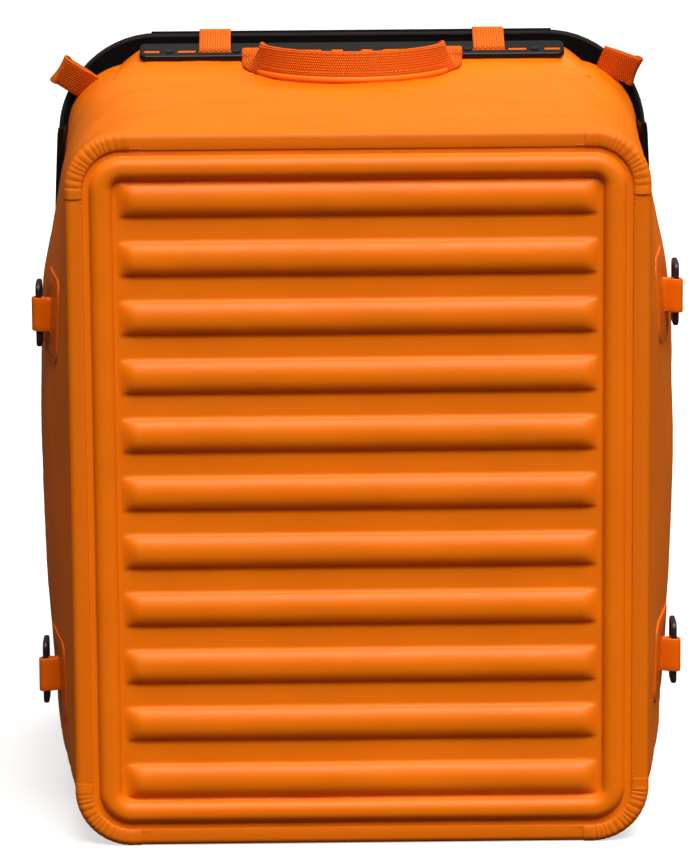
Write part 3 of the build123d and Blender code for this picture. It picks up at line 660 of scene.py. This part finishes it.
thickness = wall_wrap.modifiers.new("fabric", "SOLIDIFY")
thickness.thickness, thickness.offset = 2.6 * MM, -1
finish_piece(wall_wrap, "body", wall_fabric, ["body_wall"])

# %% Side boards
for side, name in ((-1, "left"), (1, "right")):
    board_depth, board_z = np.meshgrid(np.linspace(16, 346, 24), np.linspace(62, 430, 30), indexing="ij")
    board = surface(
        f"wall_panel_{name}",
        np.stack([side * (side_x(board_depth, board_z) - 4.3), board_depth, board_z], -1), flip=side < 0,
    )
    sheet_thickness = board.modifiers.new("sheet", "SOLIDIFY")
    sheet_thickness.thickness, sheet_thickness.offset = 1.5 * MM, 0
    finish_piece(board, "body", board_sheet, [f"wall_board_{name}"])

# %% [markdown]
# ## The compartment's lining
# With the back open, the inside shows: a grey lining over the stiffening boards. It is the same loft, moved
# inward past the boards, and closed at the front by a flat sheet behind the moulded face.

# %% Lining
lining_rows = []
for depth in np.linspace(9, 366, 30):
    loop = wall_loop(min(depth, RIM_DEPTH), -6.2)
    lining_rows.append(at_depth(loop, depth))
for scale in (0.98, 0.8, 0.5, 0.2, 0.02):
    loop = wall_loop(9, -6.2)
    middle = np.array([0, MID_Z])
    loop = middle + (loop - middle) * scale
    lining_rows.insert(0, at_depth(loop, 8.6 - 0.3 * (1 - scale)))
lining_rows = np.array(lining_rows)
upper = lining_rows[..., 2] > MID_Z
lining_rows[..., 2] += 0.25 * waves(lining_rows[..., 0], lining_rows[..., 1], 31, 80) * upper
lining = surface("compartment_lining", lining_rows, wrap=(False, True))
lining_thickness = lining.modifiers.new("cloth", "SOLIDIFY")
lining_thickness.thickness, lining_thickness.offset = 0.4 * MM, 0
finish_piece(lining, "body", lining_cloth)

# %% [markdown]
# ## Rim and rail
# The black rim is foam wrapped in fabric, with a corded piping round its front edge. Its outer line and its
# inner line have different corners, so each point of its section lies part of the way from one to the
# other. The slotted rail keeps its CAD shape and only gets its glossy plastic; under it, a fabric-covered
# wedge.

# %% Rim
RIM = dict(half_width=218.0, low=0.0, high=524.0, corner=72.0, bow=4.0)
RIM_INSIDE = dict(half_width=207.0, low=10.0, high=497.0, corner=58.0, bow=4.0)


def inset_loop(outline, inset, **steps):
    """An outline moved inward."""
    return box_loop(
        outline["half_width"] - inset, outline["low"] + inset, outline["high"] - inset,
        outline["corner"] - inset, outline["bow"], **steps,
    )


rim_outer, rim_inner = inset_loop(RIM, 0), inset_loop(RIM_INSIDE, 0)
rim_gap = np.linalg.norm(rim_outer - rim_inner, axis=1)
round_off = np.linspace(0, np.pi / 2, 6)
rim_in = np.concatenate([3 - 3 * np.sin(round_off), 3 - 3 * np.cos(round_off), [8, 90, 90, 6]])
rim_back = np.concatenate([
    RIM_DEPTH + 3 - 3 * np.cos(round_off),
    ZIP_DEPTH - 3 + 3 * np.sin(round_off),
    [ZIP_DEPTH, ZIP_DEPTH, RIM_DEPTH, RIM_DEPTH],
])
rim_rows = []
for inset, depth in zip(rim_in, rim_back):
    share = np.clip(inset / rim_gap, 0, 1)[:, None]
    loop = rim_outer + (rim_inner - rim_outer) * share
    rim_rows.append(at_depth(loop, depth))
rim_points = np.array(rim_rows).transpose(1, 0, 2)
rim_cover = surface("rim_cover", rim_points, wrap=(True, True), sharp=60)
finish_piece(rim_cover, "body", black_cloth, ["rim_frame"])

piping_line = inset_loop(RIM, 1.3)
piping_line = even(at_depth(piping_line, RIM_DEPTH + 0.8), 400, True)
piping_line[:, 2] = np.clip(piping_line[:, 2], 1.8, None)
rim_piping = tube("rim_piping", piping_line, 1.6, closed=True)
finish_piece(rim_piping, "body", black_webbing)

# %% Rail bed
TILT = math.radians(20)
RAIL_FOOT = np.array([327.0, 509.8])


def on_rail(along, height=0.0):
    """Depth and height of a point on the tilted rail: some way up its slope and above its middle plane."""
    return RAIL_FOOT + np.array([
        along * math.cos(TILT) - height * math.sin(TILT),
        along * math.sin(TILT) + height * math.cos(TILT),
    ])


bed_x = np.concatenate([[-176, -175, -173], np.linspace(-168, 168, 61), [173, 175, 176]])
bed_fade = np.clip((176.5 - np.abs(bed_x)) / 22, 0, 1) ** 0.8
slope_low, slope_high = on_rail(-1.5, -2.7), on_rail(21, -2.5)
bed_profile = smooth_line([
    (303, 501.2), (315, 502.6), (322, 505.0),
    slope_low, (slope_low + slope_high) / 2, slope_high, (357, slope_high[1] + 1.0),
], 26)
bed_points = np.zeros((len(bed_x), len(bed_profile), 3))
bed_points[..., 0] = bed_x[:, None]
bed_points[..., 1] = bed_profile[:, 0]
base_z = 501.0 - 0.02 * np.clip(np.abs(bed_x) - 150, 0, 60) ** 1.6
bed_points[..., 2] = base_z[:, None] + (bed_profile[:, 1] - 501.0) * bed_fade[:, None]
bed_points[..., 2] += 0.25 * waves(bed_points[..., 0], bed_points[..., 1] * 2, 41, 50) * bed_fade[:, None]
rail_bed = surface("rail_bed_cover", bed_points)
bed_thickness = rail_bed.modifiers.new("fabric", "SOLIDIFY")
bed_thickness.thickness, bed_thickness.offset = 1.2 * MM, -1
finish_piece(rail_bed, "body", wall_fabric, ["rail_bed"])

# %% Webbing in the rail's slots
SLOTS = {11: 9, 33.5: 23, 70: 26, 102: 26, 123: 14.8, 149: 12.6}
fills = []
for middle_x, length in SLOTS.items():
    for side in (-1, 1):
        x = side * (middle_x + np.linspace(-0.47, 0.47, 8) * length)
        place = on_rail(7.5, 1.05)
        line = np.stack([x, np.full(8, place[0]), np.full(8, place[1])], -1)
        fills.append(strap("fill", line, (0, math.cos(TILT), math.sin(TILT)), 4.6, 1.2))
finish_piece(join("rail_slot_webbing", fills), "body", orange_webbing)

# %% [markdown]
# ## Side loops
# Each side wall carries two folded tabs with a ring. A reinforcement patch is sewn under every tab. The
# patch is drawn in polar form: rings of a rounded rectangle that shrink to its middle, laid on the wall by
# its formula. The tab is one strap: out of the wall, round the ring's bar and back in.

# %% Patches and tabs
LOOP_X, LOOP_DEPTH = 223.5, 85.0
LOOP_HEIGHTS = {-1: (103.4, 362.1), 1: (113.3, 373.0)}


PATCH_DEPTH, PATCH_HALF = 86, (36, 30)                 # its middle, and half of its depth and height
PATCH_RINGS = (
    (0.03, 1.25), (0.4, 1.25), (0.7, 1.25), (0.90, 1.25),
    (0.93, 0.95), (0.955, 1.25), (0.985, 1.15), (1, 0.7), (1, -0.6),
)                                                      # size of each ring, and its height off the wall


def wall_patch(side, middle_z):
    """A thin pad on the side wall: a rounded rectangle in depth and height, with a sewn groove near its edge."""
    low, high = middle_z - PATCH_HALF[1], middle_z + PATCH_HALF[1]
    outline = box_loop(PATCH_HALF[0], low, high, 12, across=12, up=10, turn=8) + (PATCH_DEPTH, 0)
    rows = []
    for share, lift in PATCH_RINGS:
        depth = PATCH_DEPTH + (outline[:, 0] - PATCH_DEPTH) * share
        z = middle_z + (outline[:, 1] - middle_z) * share
        rows.append(np.stack([side * (side_x(depth, z) + lift), depth, z], -1))
    return surface("patch", rows, wrap=(False, True), caps=True)


def tab_line(side, middle_z, skew):
    """The tab's middle line: two straight runs from the wall and an arc round the bar, a little skewed."""
    wall_x = side_x(LOOP_DEPTH, middle_z) - 2
    turn = np.linspace(-np.pi / 2, np.pi / 2, 11)
    run = wall_x + np.array([0, 4, 7])
    x = np.concatenate([run, LOOP_X + 4.0 * np.cos(turn), run[::-1]])
    depth = LOOP_DEPTH + np.concatenate([[-1.9, -2.1, -3.0], 4.0 * np.sin(turn), [3.0, 2.1, 1.9]])
    z = middle_z + skew * (x - wall_x)
    return smooth_line(np.stack([side * x, depth, z], -1), 48)


patches, tabs = [], []
for side, heights in LOOP_HEIGHTS.items():
    for k, middle_z in enumerate(heights):
        patches.append(wall_patch(side, middle_z))
        skew = 0.10 if (side, k) == (-1, 1) else -0.05
        tabs.append(strap(f"tab_{side}_{k}", tab_line(side, middle_z, skew), (0, 0, 1), 24, 1.6))
finish_piece(join("side_patch_covers", patches), "body", patch_fabric, ["side_patches"])
finish_piece(join("side_tab_straps", tabs), "body", tab_fabric, ["side_tabs"])
for side, heights in LOOP_HEIGHTS.items():
    for k, middle_z in enumerate(heights):
        z = np.linspace(middle_z - 10, middle_z + 10, 9)
        for depth in (LOOP_DEPTH - 9, LOOP_DEPTH + 9):
            line = np.stack([side * (side_x(depth, z) + 1.3), np.full(9, depth), z], -1)
            name = f"tab_stitches_{side}_{k}_{int(depth)}"
            stitch_row(name, line, (side, 0, 0), "body", thread_orange, 2.8, 1.9)

# %% [markdown]
# ## Webbing on the rim
# Two bands come up through the rail's slots and cross the rim. At the rim's upper corners, webbing is
# folded into open loops and sewn into the seam; one stands out, the other has flopped down. All are straps
# along a line, and the corner loops' lines are U shapes drawn in their own tilted plane.

# %% Bands over the rim
band_line = np.array([
    on_rail(8.0, -3.0), on_rail(7.6, 0.8), on_rail(8.8, 3.1), on_rail(13, 3.3), on_rail(20, 3.4),
    (352.5, 522.6), (357.5, 525.3), (363, 525.9), (368.2, 525.4), (370.3, 522.5),
])
for side, name in ((-1, "left"), (1, "right")):
    x = np.full((len(band_line), 1), side * 102.0)
    line = smooth_line(np.concatenate([x, band_line], 1), 70)
    band = strap(f"band_{name}", line, (1, 0, 0), 23.5, 1.6)
    finish_piece(band, "body", orange_webbing, [f"anchor_band_{name}"])

# %% Corner loops
loops = []
for side, x, z, angle, gape in ((-1, 208.7, 493.5, 33, 4.6), (1, 201.5, 498.0, -20, 4.8)):
    turn = np.linspace(-np.pi / 2, np.pi / 2, 9)
    u = np.concatenate([[-17, -12, -5, 2], 8.2 + 3.6 * np.cos(turn), [2, -5, -12, -17]])
    v = np.concatenate([[-1.6, -2.2, -gape, -gape - 0.2], gape * np.sin(turn), [gape + 0.2, gape, 2.6, 2.0]])
    out = np.array([side * math.cos(math.radians(angle)), 0, math.sin(math.radians(angle))])
    width = np.array([-side * math.sin(math.radians(angle)), -0.42, math.cos(math.radians(angle))])
    line = np.array([side * x, 350.5, z]) + u[:, None] * out + v[:, None] * np.array([0, 1.0, 0])
    loops.append(strap(f"loop_{side}", smooth_line(line, 80), width, 23.5, 1.7))
finish_piece(join("corner_webbing_loops", loops), "body", orange_webbing, ["corner_loops"])

# %% [markdown]
# ## Carry handle
# One length of webbing: it wraps the rail's bar, leaves it lying flat, turns on edge and runs round in a
# half oval, then does the same in reverse. The line and the direction of the webbing's width are both given
# along the way, and the width's turn from level to upright makes the folded ends.

# %% Handle
BAR = on_rail(2.75)
REACH_X, REACH_DEPTH, LEG = 71.0, 68.0, 11.0
HANDLE_Z = 513.0
wrap = np.radians(np.linspace(-160, 150, 14))
wrap_points = np.stack([np.full(14, -70.0), BAR[0] + 5.0 * np.cos(wrap), BAR[1] + 5.0 * np.sin(wrap)], -1)
oval = np.radians(np.linspace(8, 90, 16))
oval_points = np.stack([
    -REACH_X * np.cos(oval), BAR[0] - LEG - REACH_DEPTH * np.sin(oval), HANDLE_Z - 0.6 * np.sin(oval)
], -1)
lead_points = np.array([(-70.3, 322.6, 510.4), (-71.0, 317.5, 511.6)])
half_line = np.concatenate([wrap_points, lead_points, oval_points])
half_turn = np.radians(np.concatenate([np.zeros(14), [10, 42], 90 - 24 * np.exp(-np.arange(16) / 1.3)]))
mirror_line = (half_line * (-1, 1, 1))[::-1][1:]
handle_knots = np.concatenate([half_line, mirror_line])
turn_knots = np.concatenate([half_turn, np.pi - half_turn[::-1][1:]])
handle_line = smooth_line(handle_knots, 360)
turn_line = smooth_line(turn_knots[:, None], 360)
handle_width = np.concatenate([np.cos(turn_line), np.zeros_like(turn_line), np.sin(turn_line)], 1)
handle_band = strap("handle_band", handle_line, handle_width, 23.6, 2.6)
finish_piece(handle_band, "handle", orange_webbing, ["handle"])


def handle_course(z, out, first, count=150):
    """A line along the handle's outside: the same oval, pushed out, at some height."""
    angle = np.radians(np.linspace(first, 180 - first, count))
    x, depth = -np.cos(angle) * (REACH_X + out), BAR[0] - LEG - np.sin(angle) * (REACH_DEPTH + out)
    return np.stack([x, depth, np.full(count, z)], -1)


lip = strap("handle_lip", handle_course(HANDLE_Z - 9.6, 0.7, 14), (0, 0, 1), 4.6, 3.6)
finish_piece(lip, "handle", thread_orange)
for k, z in enumerate((HANDLE_Z + 9.6, HANDLE_Z - 4.6)):
    course = handle_course(z, 1.45, 20)
    stitch_row(f"handle_stitches_{k}", course, (0, -1, 0), "handle", thread_orange, 3.0, 2.1)

# %% [markdown]
# ## Zip
# A coil zip is a wound thread on each of two tapes. Each coil here is a true helix along the rim's outline:
# the outline gives the path, and an angle that grows with the distance along it winds the thread.

# %% Coils and tapes
ZIP_TOP = 455.0


def zip_path(inset, count):
    """The U-shaped run of the zip: the rim's outline, moved inward, below the zip's top ends."""
    loop = inset_loop(RIM, inset, across=160, up=160, turn=60)
    loop = np.roll(loop, -160, axis=0)
    return even(loop[loop[:, 1] < ZIP_TOP], count)


COIL_RADIUS, COIL_FLAT, COIL_PITCH, WIRE = 0.95, 0.62, 1.9, 0.38


def coil(name, depth, body):
    """A helix: the path plus an ellipse in the plane across it, turning once in every pitch of its length."""
    path = zip_path(6.9, 4200)
    length = np.concatenate([[0], np.cumsum(np.linalg.norm(np.diff(path, axis=0), axis=1))])
    along = slopes(path)
    out = np.stack([-along[:, 1], along[:, 0]], -1)
    wind = 2 * np.pi * length / COIL_PITCH
    spiral = path + out * (COIL_RADIUS * np.cos(wind))[:, None]
    line = np.stack([spiral[:, 0], depth + COIL_FLAT * np.sin(wind), spiral[:, 1]], -1)
    piece = tube(name, line, WIRE, sides=4)
    return finish_piece(piece, body, coil_plastic)


def zip_tape(name, depths, body, node):
    """A flat ribbon beside the coil: the outline at two insets and two depths, closed into a band."""
    rows = []
    for inset, depth in ((7.3, depths[0]), (15, depths[0]), (15, depths[1]), (7.3, depths[1])):
        path = zip_path(inset, 260)
        rows.append(np.stack([path[:, 0], np.full(260, depth), path[:, 1]], -1))
    ribbon = surface(name, np.array(rows).transpose(1, 0, 2), wrap=(False, True), caps=True, sharp=40)
    return finish_piece(ribbon, body, black_webbing, [node])


coil("zip_coil_body", 371.45, "body")
coil("zip_coil_lid", 373.05, "lid")
zip_tape("zip_ribbon_body", (370.1, 371.0), "body", "zip_chain_body")
zip_tape("zip_ribbon_lid", (373.6, 374.4), "lid", "zip_chain_lid")

# %% [markdown]
# ## Back panel
# The whole back opens. Its cover is fabric over foam: the rim's outline again, in rings that shrink to the
# middle on both faces, with a rounded, piped edge. A fabric hinge joins it to the rim along the top.

# %% Lid cover
LID_DEPTH, PAD_DEPTH = 374.5, 388.0
lid_edge = np.linspace(-np.pi / 2, np.pi / 2, 9)
lid_rings = [(s, 0.0, LID_DEPTH + 0.2) for s in (0.02, 0.25, 0.5, 0.75, 0.95)]
lid_middle = (LID_DEPTH + PAD_DEPTH) / 2
lid_rings += [(1.0, 3.0 - 3.0 * math.cos(a), lid_middle + 6.65 * math.sin(a)) for a in lid_edge]
lid_dips = ((0.965, 0.5), (0.95, 0.1), (0.75, 0), (0.5, 0), (0.25, 0), (0.02, 0))
lid_rings += [(s, 0.0, PAD_DEPTH - dip) for s, dip in lid_dips]
lid_rows = []
for share, inset, depth in lid_rings:
    loop = inset_loop(RIM, 6.0 + inset)
    loop = (0, 262) + (loop - (0, 262)) * share
    lid_rows.append(at_depth(loop, depth))
lid_rows = np.array(lid_rows)
lid_rows[..., 1] += 0.25 * waves(lid_rows[..., 0], lid_rows[..., 2], 51, 120) * (lid_rows[..., 1] > 380)
lid_shell = surface("lid_shell", lid_rows, wrap=(False, True), caps=True)
finish_piece(lid_shell, "lid", black_cloth, ["lid_cover"])
edge_loop = inset_loop(RIM, 7.6)
edge_line = even(at_depth(edge_loop, PAD_DEPTH - 1.2), 400, True)
finish_piece(tube("lid_piping", edge_line, 1.5, closed=True), "lid", black_webbing)

# %% Fabric hinge
hinge_x = np.linspace(-150, 150, 61)
hinge_run = smooth_line([
    (368.6, 515), (370.4, 520), (371.2, 523.0), (372.3, 524.0), (373.4, 522.4), (374.2, 518.6), (375.4, 515.2),
], 31)
hinge_points = np.zeros((61, 31, 3))
hinge_points[..., 0] = hinge_x[:, None]
hinge_points[..., 1:] = hinge_run
hinge = surface("fabric_hinge", hinge_points)
hinge_thickness = hinge.modifiers.new("fabric", "SOLIDIFY")
hinge_thickness.thickness, hinge_thickness.offset = 0.8 * MM, 0
hinge.data.materials.append(black_cloth)
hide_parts("hinge_gusset")
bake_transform(hinge)

# %% [markdown]
# ## Padding
# The back pads and the shoulder straps are foam under a knitted spacer mesh. Each starts from its CAD
# solid, remeshed into even cells and blown up a little as cloth, so that its faces crown and its sides pull
# in; then it is held to the space that its neighbours leave, and the sewn channels are pressed in.


# %% Cloth pads
def clean_copy(node, name):
    """A merged copy of a CAD solid, in even cells."""
    piece = bpy.data.objects.new(name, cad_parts[node].data.copy())
    bpy.context.scene.collection.objects.link(piece)
    piece.data.materials.clear()
    bm = bmesh.new()
    bm.from_mesh(piece.data)
    bmesh.ops.remove_doubles(bm, verts=bm.verts, dist=1e-5)
    bmesh.ops.recalc_face_normals(bm, faces=bm.faces)
    bm.to_mesh(piece.data)
    bm.free()
    cells = piece.modifiers.new("cells", "REMESH")
    cells.mode, cells.voxel_size = "VOXEL", 5 * MM
    return apply_modifiers(piece)


def apply_modifiers(piece):
    """Keeps what the modifiers made and drops them."""
    view = bpy.context.evaluated_depsgraph_get()
    mesh = bpy.data.meshes.new_from_object(piece.evaluated_get(view))
    piece.modifiers.clear()
    piece.data = mesh
    return piece


def points_of(mesh):
    co = np.empty(len(mesh.vertices) * 3, np.float32)
    mesh.vertices.foreach_get("co", co)
    return co.reshape(-1, 3).astype(float)


def put_points(mesh, co):
    mesh.vertices.foreach_set("co", co.astype(np.float32).ravel())
    mesh.update()


def inflate(piece, most):
    """Blows the piece up as cloth for twenty frames, and caps how far any point may move, in metres."""
    start = points_of(piece.data)
    cloth = piece.modifiers.new("cloth", "CLOTH")
    settings = cloth.settings
    settings.use_pressure, settings.uniform_pressure_force = True, 4
    settings.effector_weights.gravity = 0
    cloth.point_cache.frame_start, cloth.point_cache.frame_end = 1, 20
    for frame_number in range(1, 21):
        bpy.context.scene.frame_set(frame_number)
    apply_modifiers(piece)
    bpy.context.scene.frame_set(1)
    move = points_of(piece.data) - start
    size = np.linalg.norm(move, axis=1, keepdims=True)
    put_points(piece.data, start + move * np.minimum(1, most / np.maximum(size, 1e-9)))


def channels(z, places, width, depth):
    """Sewn grooves across a pad: a Gaussian dip at each height."""
    return depth * np.exp(-(((z[:, None] - np.array(places)) / width) ** 2)).sum(1)


def pad(node, body, span, grooves):
    """One pad: cloth, then kept between two depths, then its grooves pressed into the outer face."""
    piece = clean_copy(node, node + "_cushion")
    inflate(piece, 5 * MM)
    finer = piece.modifiers.new("finer", "SUBSURF")
    finer.levels = finer.render_levels = 1
    apply_modifiers(piece)
    co = points_of(piece.data)
    middle = co.mean(0)
    low, high = (FACE_Y + d * MM for d in span)
    co[:, (0, 2)] = middle[[0, 2]] + (co[:, (0, 2)] - middle[[0, 2]]) * (0.985, 0.988)
    t = (co[:, 1] - low) / (high - low)
    t = np.clip((t - t.min()) / (t.max() - t.min()), 0, 1)
    outer = np.clip((t - 0.5) * 2, 0, 1)
    co[:, 1] = low + t * (high - low) - outer * channels(co[:, 2], grooves, 3.2 * MM, 3.6 * MM)
    put_points(piece.data, co)
    piece.data.polygons.foreach_set("use_smooth", np.ones(len(piece.data.polygons), bool))
    finish_piece(piece, body, spacer_mesh, [node])
    return piece


for side in ("left", "right"):
    for level, grooves in (("lower", (0.112, 0.173)), ("upper", (0.322, 0.388))):
        pad(f"back_pad_{level}_{side}", "lid", (388.05, 401.3), grooves)
    pad(f"strap_pad_{side}", f"strap_{side}", (402.7, 415.0), (0.300, 0.430))


# %% Edge binding on the pads
def bound_edge(name, line, radius, body):
    """Bias binding: a small round edge along a pad's outline."""
    edge = tube(name, even(line, 260, True), radius, closed=True, sides=8)
    return finish_piece(edge, body, black_webbing)


def strap_side(knots):
    return smooth_line(knots, 60)


for side, name in ((-1, "left"), (1, "right")):
    for level, (low_z, high_z) in {"lower": (50, 235), "upper": (255, 455)}.items():
        loop = box_loop(70.5, low_z + 2, high_z - 2, 27) + (side * 92.5, 0)
        line = at_depth(loop, 389.9)
        bound_edge(f"pad_binding_{level}_{name}", line, 1.5, "lid")
    outer = strap_side([(119, 483.2), (128.5, 476), (147, 420), (172.5, 340), (173.5, 236), (166, 227)])
    inner = strap_side([(134, 227), (126.5, 236), (120.5, 310), (94.5, 380), (78.5, 474), (85, 483.2)])
    loop = np.concatenate([outer, inner])
    loop = (loop.mean(0) + (loop - loop.mean(0)) * (0.90, 0.97)) * (side, 1)
    line = at_depth(loop, 405.2)
    bound_edge(f"strap_binding_{name}", line, 2.4, f"strap_{name}")

# %% [markdown]
# ## Harness webbing
# The lower straps are 20 mm webbing that turns back in its adjuster; the yokes and anchors are sewn to the
# lid; the chest strap's two lengths meet in the buckle. Each is a strap along a smooth line.

# %% Black webbing
for side, name in ((-1, "left"), (1, "right")):
    body = f"strap_{name}"

    def lengthwise(label, x, knots, width, where, node, count=60, closed=False):
        """A strap that runs in depth and height only, at one place across."""
        run = smooth_line(np.array(knots, float), count)
        line = np.concatenate([np.full((len(run), 1), side * x), run], 1)
        piece = strap(f"{label}_{name}", line, (1, 0, 0), width, 1.5, closed=closed)
        return finish_piece(piece, where, black_webbing, [node])

    yoke = [(388.9, 512), (388.9, 498), (389.6, 490.5), (393, 487.2), (401.4, 487)]
    lengthwise("yoke_web", 102, yoke, 23.5, "lid", f"strap_yoke_{name}")
    lengthwise("lower_web", 150, [
        (404.4, 60), (404.2, 90), (404.2, 180), (404.3, 196), (405.2, 202), (408.2, 203.6), (411.4, 201.5),
        (412.3, 196), (412.3, 175), (412.3, 151),
    ], 19.5, body, f"strap_webbing_{name}", 90)
    ring = box_loop(6.3, 15, 45, 4.5, across=6, up=12, turn=6)
    ring_line = np.stack([np.full(len(ring), side * 150.0), 395.1 + ring[:, 0], ring[:, 1]], -1)
    anchor = strap(f"anchor_web_{name}", ring_line, (1, 0, 0), 19.5, 1.5, closed=True)
    finish_piece(anchor, "lid", black_webbing, [f"strap_anchor_{name}"])
    ends, where = ((-135, -17), "strap_left") if side < 0 else ((24, 135), "sternum_plug")
    x = np.linspace(*ends, 40)
    sag = 0.3 * np.sin((x - ends[0]) / (ends[1] - ends[0]) * np.pi)
    chest = np.stack([x, 416.6 - sag, np.full(40, 380.0)], -1)
    chest_web = strap(f"chest_web_{name}", chest, (0, 0, 1), 19.5, 1.5)
    finish_piece(chest_web, where, black_webbing, [f"sternum_webbing_{name}"])
    for z in (372.5, 387.5):
        line = np.stack([side * np.linspace(112, 132, 8), np.full(8, 417.5), np.full(8, z)], -1)
        stitch_row(f"chest_stitches_{name}_{int(z)}", line, (0, 1, 0), where, thread_black, 3, 2)

# %% CAD nodes that keep their shape
kept = {
    "rail_plastic": (rail_plastic, ["top_rail", "side_rail_left", "side_rail_right"]),
    "buckles": (
        buckle_plastic,
        [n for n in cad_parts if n.startswith(("side_ring", "strap_adjuster", "strap_hook"))],
    ),
    "chest_buckle": (buckle_plastic, ["sternum_socket", "sternum_plug"]),
    "boards": (board_sheet, [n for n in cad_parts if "board" in n]),
    "stays": (satin_metal, ["lid_stays"]),
    "painted": (slider_metal, ["rail_rivets", "zip_slider", "zip_pull"]),
    "foam": (lining_cloth, ["lid_foam"]),
}
for material, nodes in kept.values():
    for node in nodes:
        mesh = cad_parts[node].data
        mesh.materials.clear()
        mesh.materials.append(material)

# %% [markdown]
# ## Camera and light
# A long lens from a little above, as the front is seen nearly flat. One wide soft light from high in front
# makes the ribs read; a weak one opens the right side, one behind shows the back, and the left stays deep.
# The floor sweeps up into a wall far away, so that it is pale from every side. It glows a little, and it is
# hidden from the pack's own light, because its bounce would fill in the shadows under the ribs.

# %% Camera
camera = bpy.data.cameras.new("camera")
camera.sensor_width = 36
camera.lens = 208.84
camera.clip_end = 50
viewer = bpy.data.objects.new("camera", camera)
viewer.location = (-0.0377, FACE_Y - 3.3225, 0.9994)
look = Euler((math.radians(90 - 11.91), math.radians(0.435), math.radians(-0.568)), "XYZ")
viewer.rotation_euler = look
bpy.context.scene.collection.objects.link(viewer)
bpy.context.scene.camera = viewer


# %% Lights
def softbox(name, place, aim, size, power, color=(1, 1, 1)):
    """A rectangular soft light that faces a point."""
    lamp = bpy.data.lights.new(name, "AREA")
    lamp.shape, lamp.size, lamp.size_y = "RECTANGLE", size[0], size[1]
    lamp.energy, lamp.color = power, color
    holder = bpy.data.objects.new(name, lamp)
    holder.location = place
    direction = np.array(aim, float) - np.array(place, float)
    yaw = math.atan2(direction[0], -direction[1])
    tip = math.atan2(math.hypot(direction[0], direction[1]), -direction[2])
    holder.rotation_euler = (tip, 0, yaw + math.pi)
    bpy.context.scene.collection.objects.link(holder)
    return holder


def high_light(name, elevation, around, angle, strength, color=(1, 1, 1)):
    """A very wide, distant soft light, so that the floor is evenly lit: degrees up, and right of the front."""
    lamp = bpy.data.lights.new(name, "SUN")
    lamp.angle, lamp.energy, lamp.color = math.radians(angle), strength, color
    holder = bpy.data.objects.new(name, lamp)
    holder.rotation_euler = (math.radians(90 - elevation), 0, math.radians(around))
    bpy.context.scene.collection.objects.link(holder)


high_light("overhead", 57, 14, 36, 3.9)
softbox("rear", (0.9, 2.2, 2.2), (0, 0.2, 0.25), (1.8, 1.2), 70).visible_glossy = False
softbox("right_fill", (2.6, -0.9, 0.9), (0, 0, 0.25), (0.8, 1.4), 4)

world = bpy.data.worlds.new("studio")
bpy.context.scene.world = world
world.use_nodes = True
sky_nodes, sky_links = world.node_tree.nodes, world.node_tree.links
height = sky_nodes.new("ShaderNodeSeparateXYZ")
sky_links.new(sky_nodes.new("ShaderNodeTexCoord").outputs["Generated"], height.inputs[0])
ramp = sky_nodes.new("ShaderNodeValToRGB")
ramp.color_ramp.elements[0].position, ramp.color_ramp.elements[0].color = 0.25, (0.095, 0.060, 0.042, 1)
ramp.color_ramp.elements[1].position, ramp.color_ramp.elements[1].color = 0.95, (0.70, 0.70, 0.70, 1)
sky_links.new(height.outputs[2], ramp.inputs[0])
sky_links.new(ramp.outputs[0], sky_nodes["Background"].inputs["Color"])
bpy.context.scene.view_settings.view_transform = "Standard"

around = np.linspace(0, 2 * np.pi, 64, endpoint=False)
sweep = [(10, 0), (3000, 0), (12000, 0), (14000, 300), (15300, 1200), (16000, 2800), (16200, 14000)]
rings = [np.stack([r * np.cos(around), r * np.sin(around), np.full(64, z)], -1) for r, z in sweep]
floor = surface("floor", rings, wrap=(False, True), caps=True)
floor_mesh = floor.data
floor_paint, *_ = new_finish(
    "floor_paint", (0.40, 0.39, 0.38), 0.9,
    Specular_IOR_Level=0.0, Emission_Color=(1, 0.985, 0.97, 1), Emission_Strength=0.62,
)
floor.visible_diffuse = floor.visible_glossy = floor.visible_shadow = False
floor_mesh.materials.append(floor_paint)
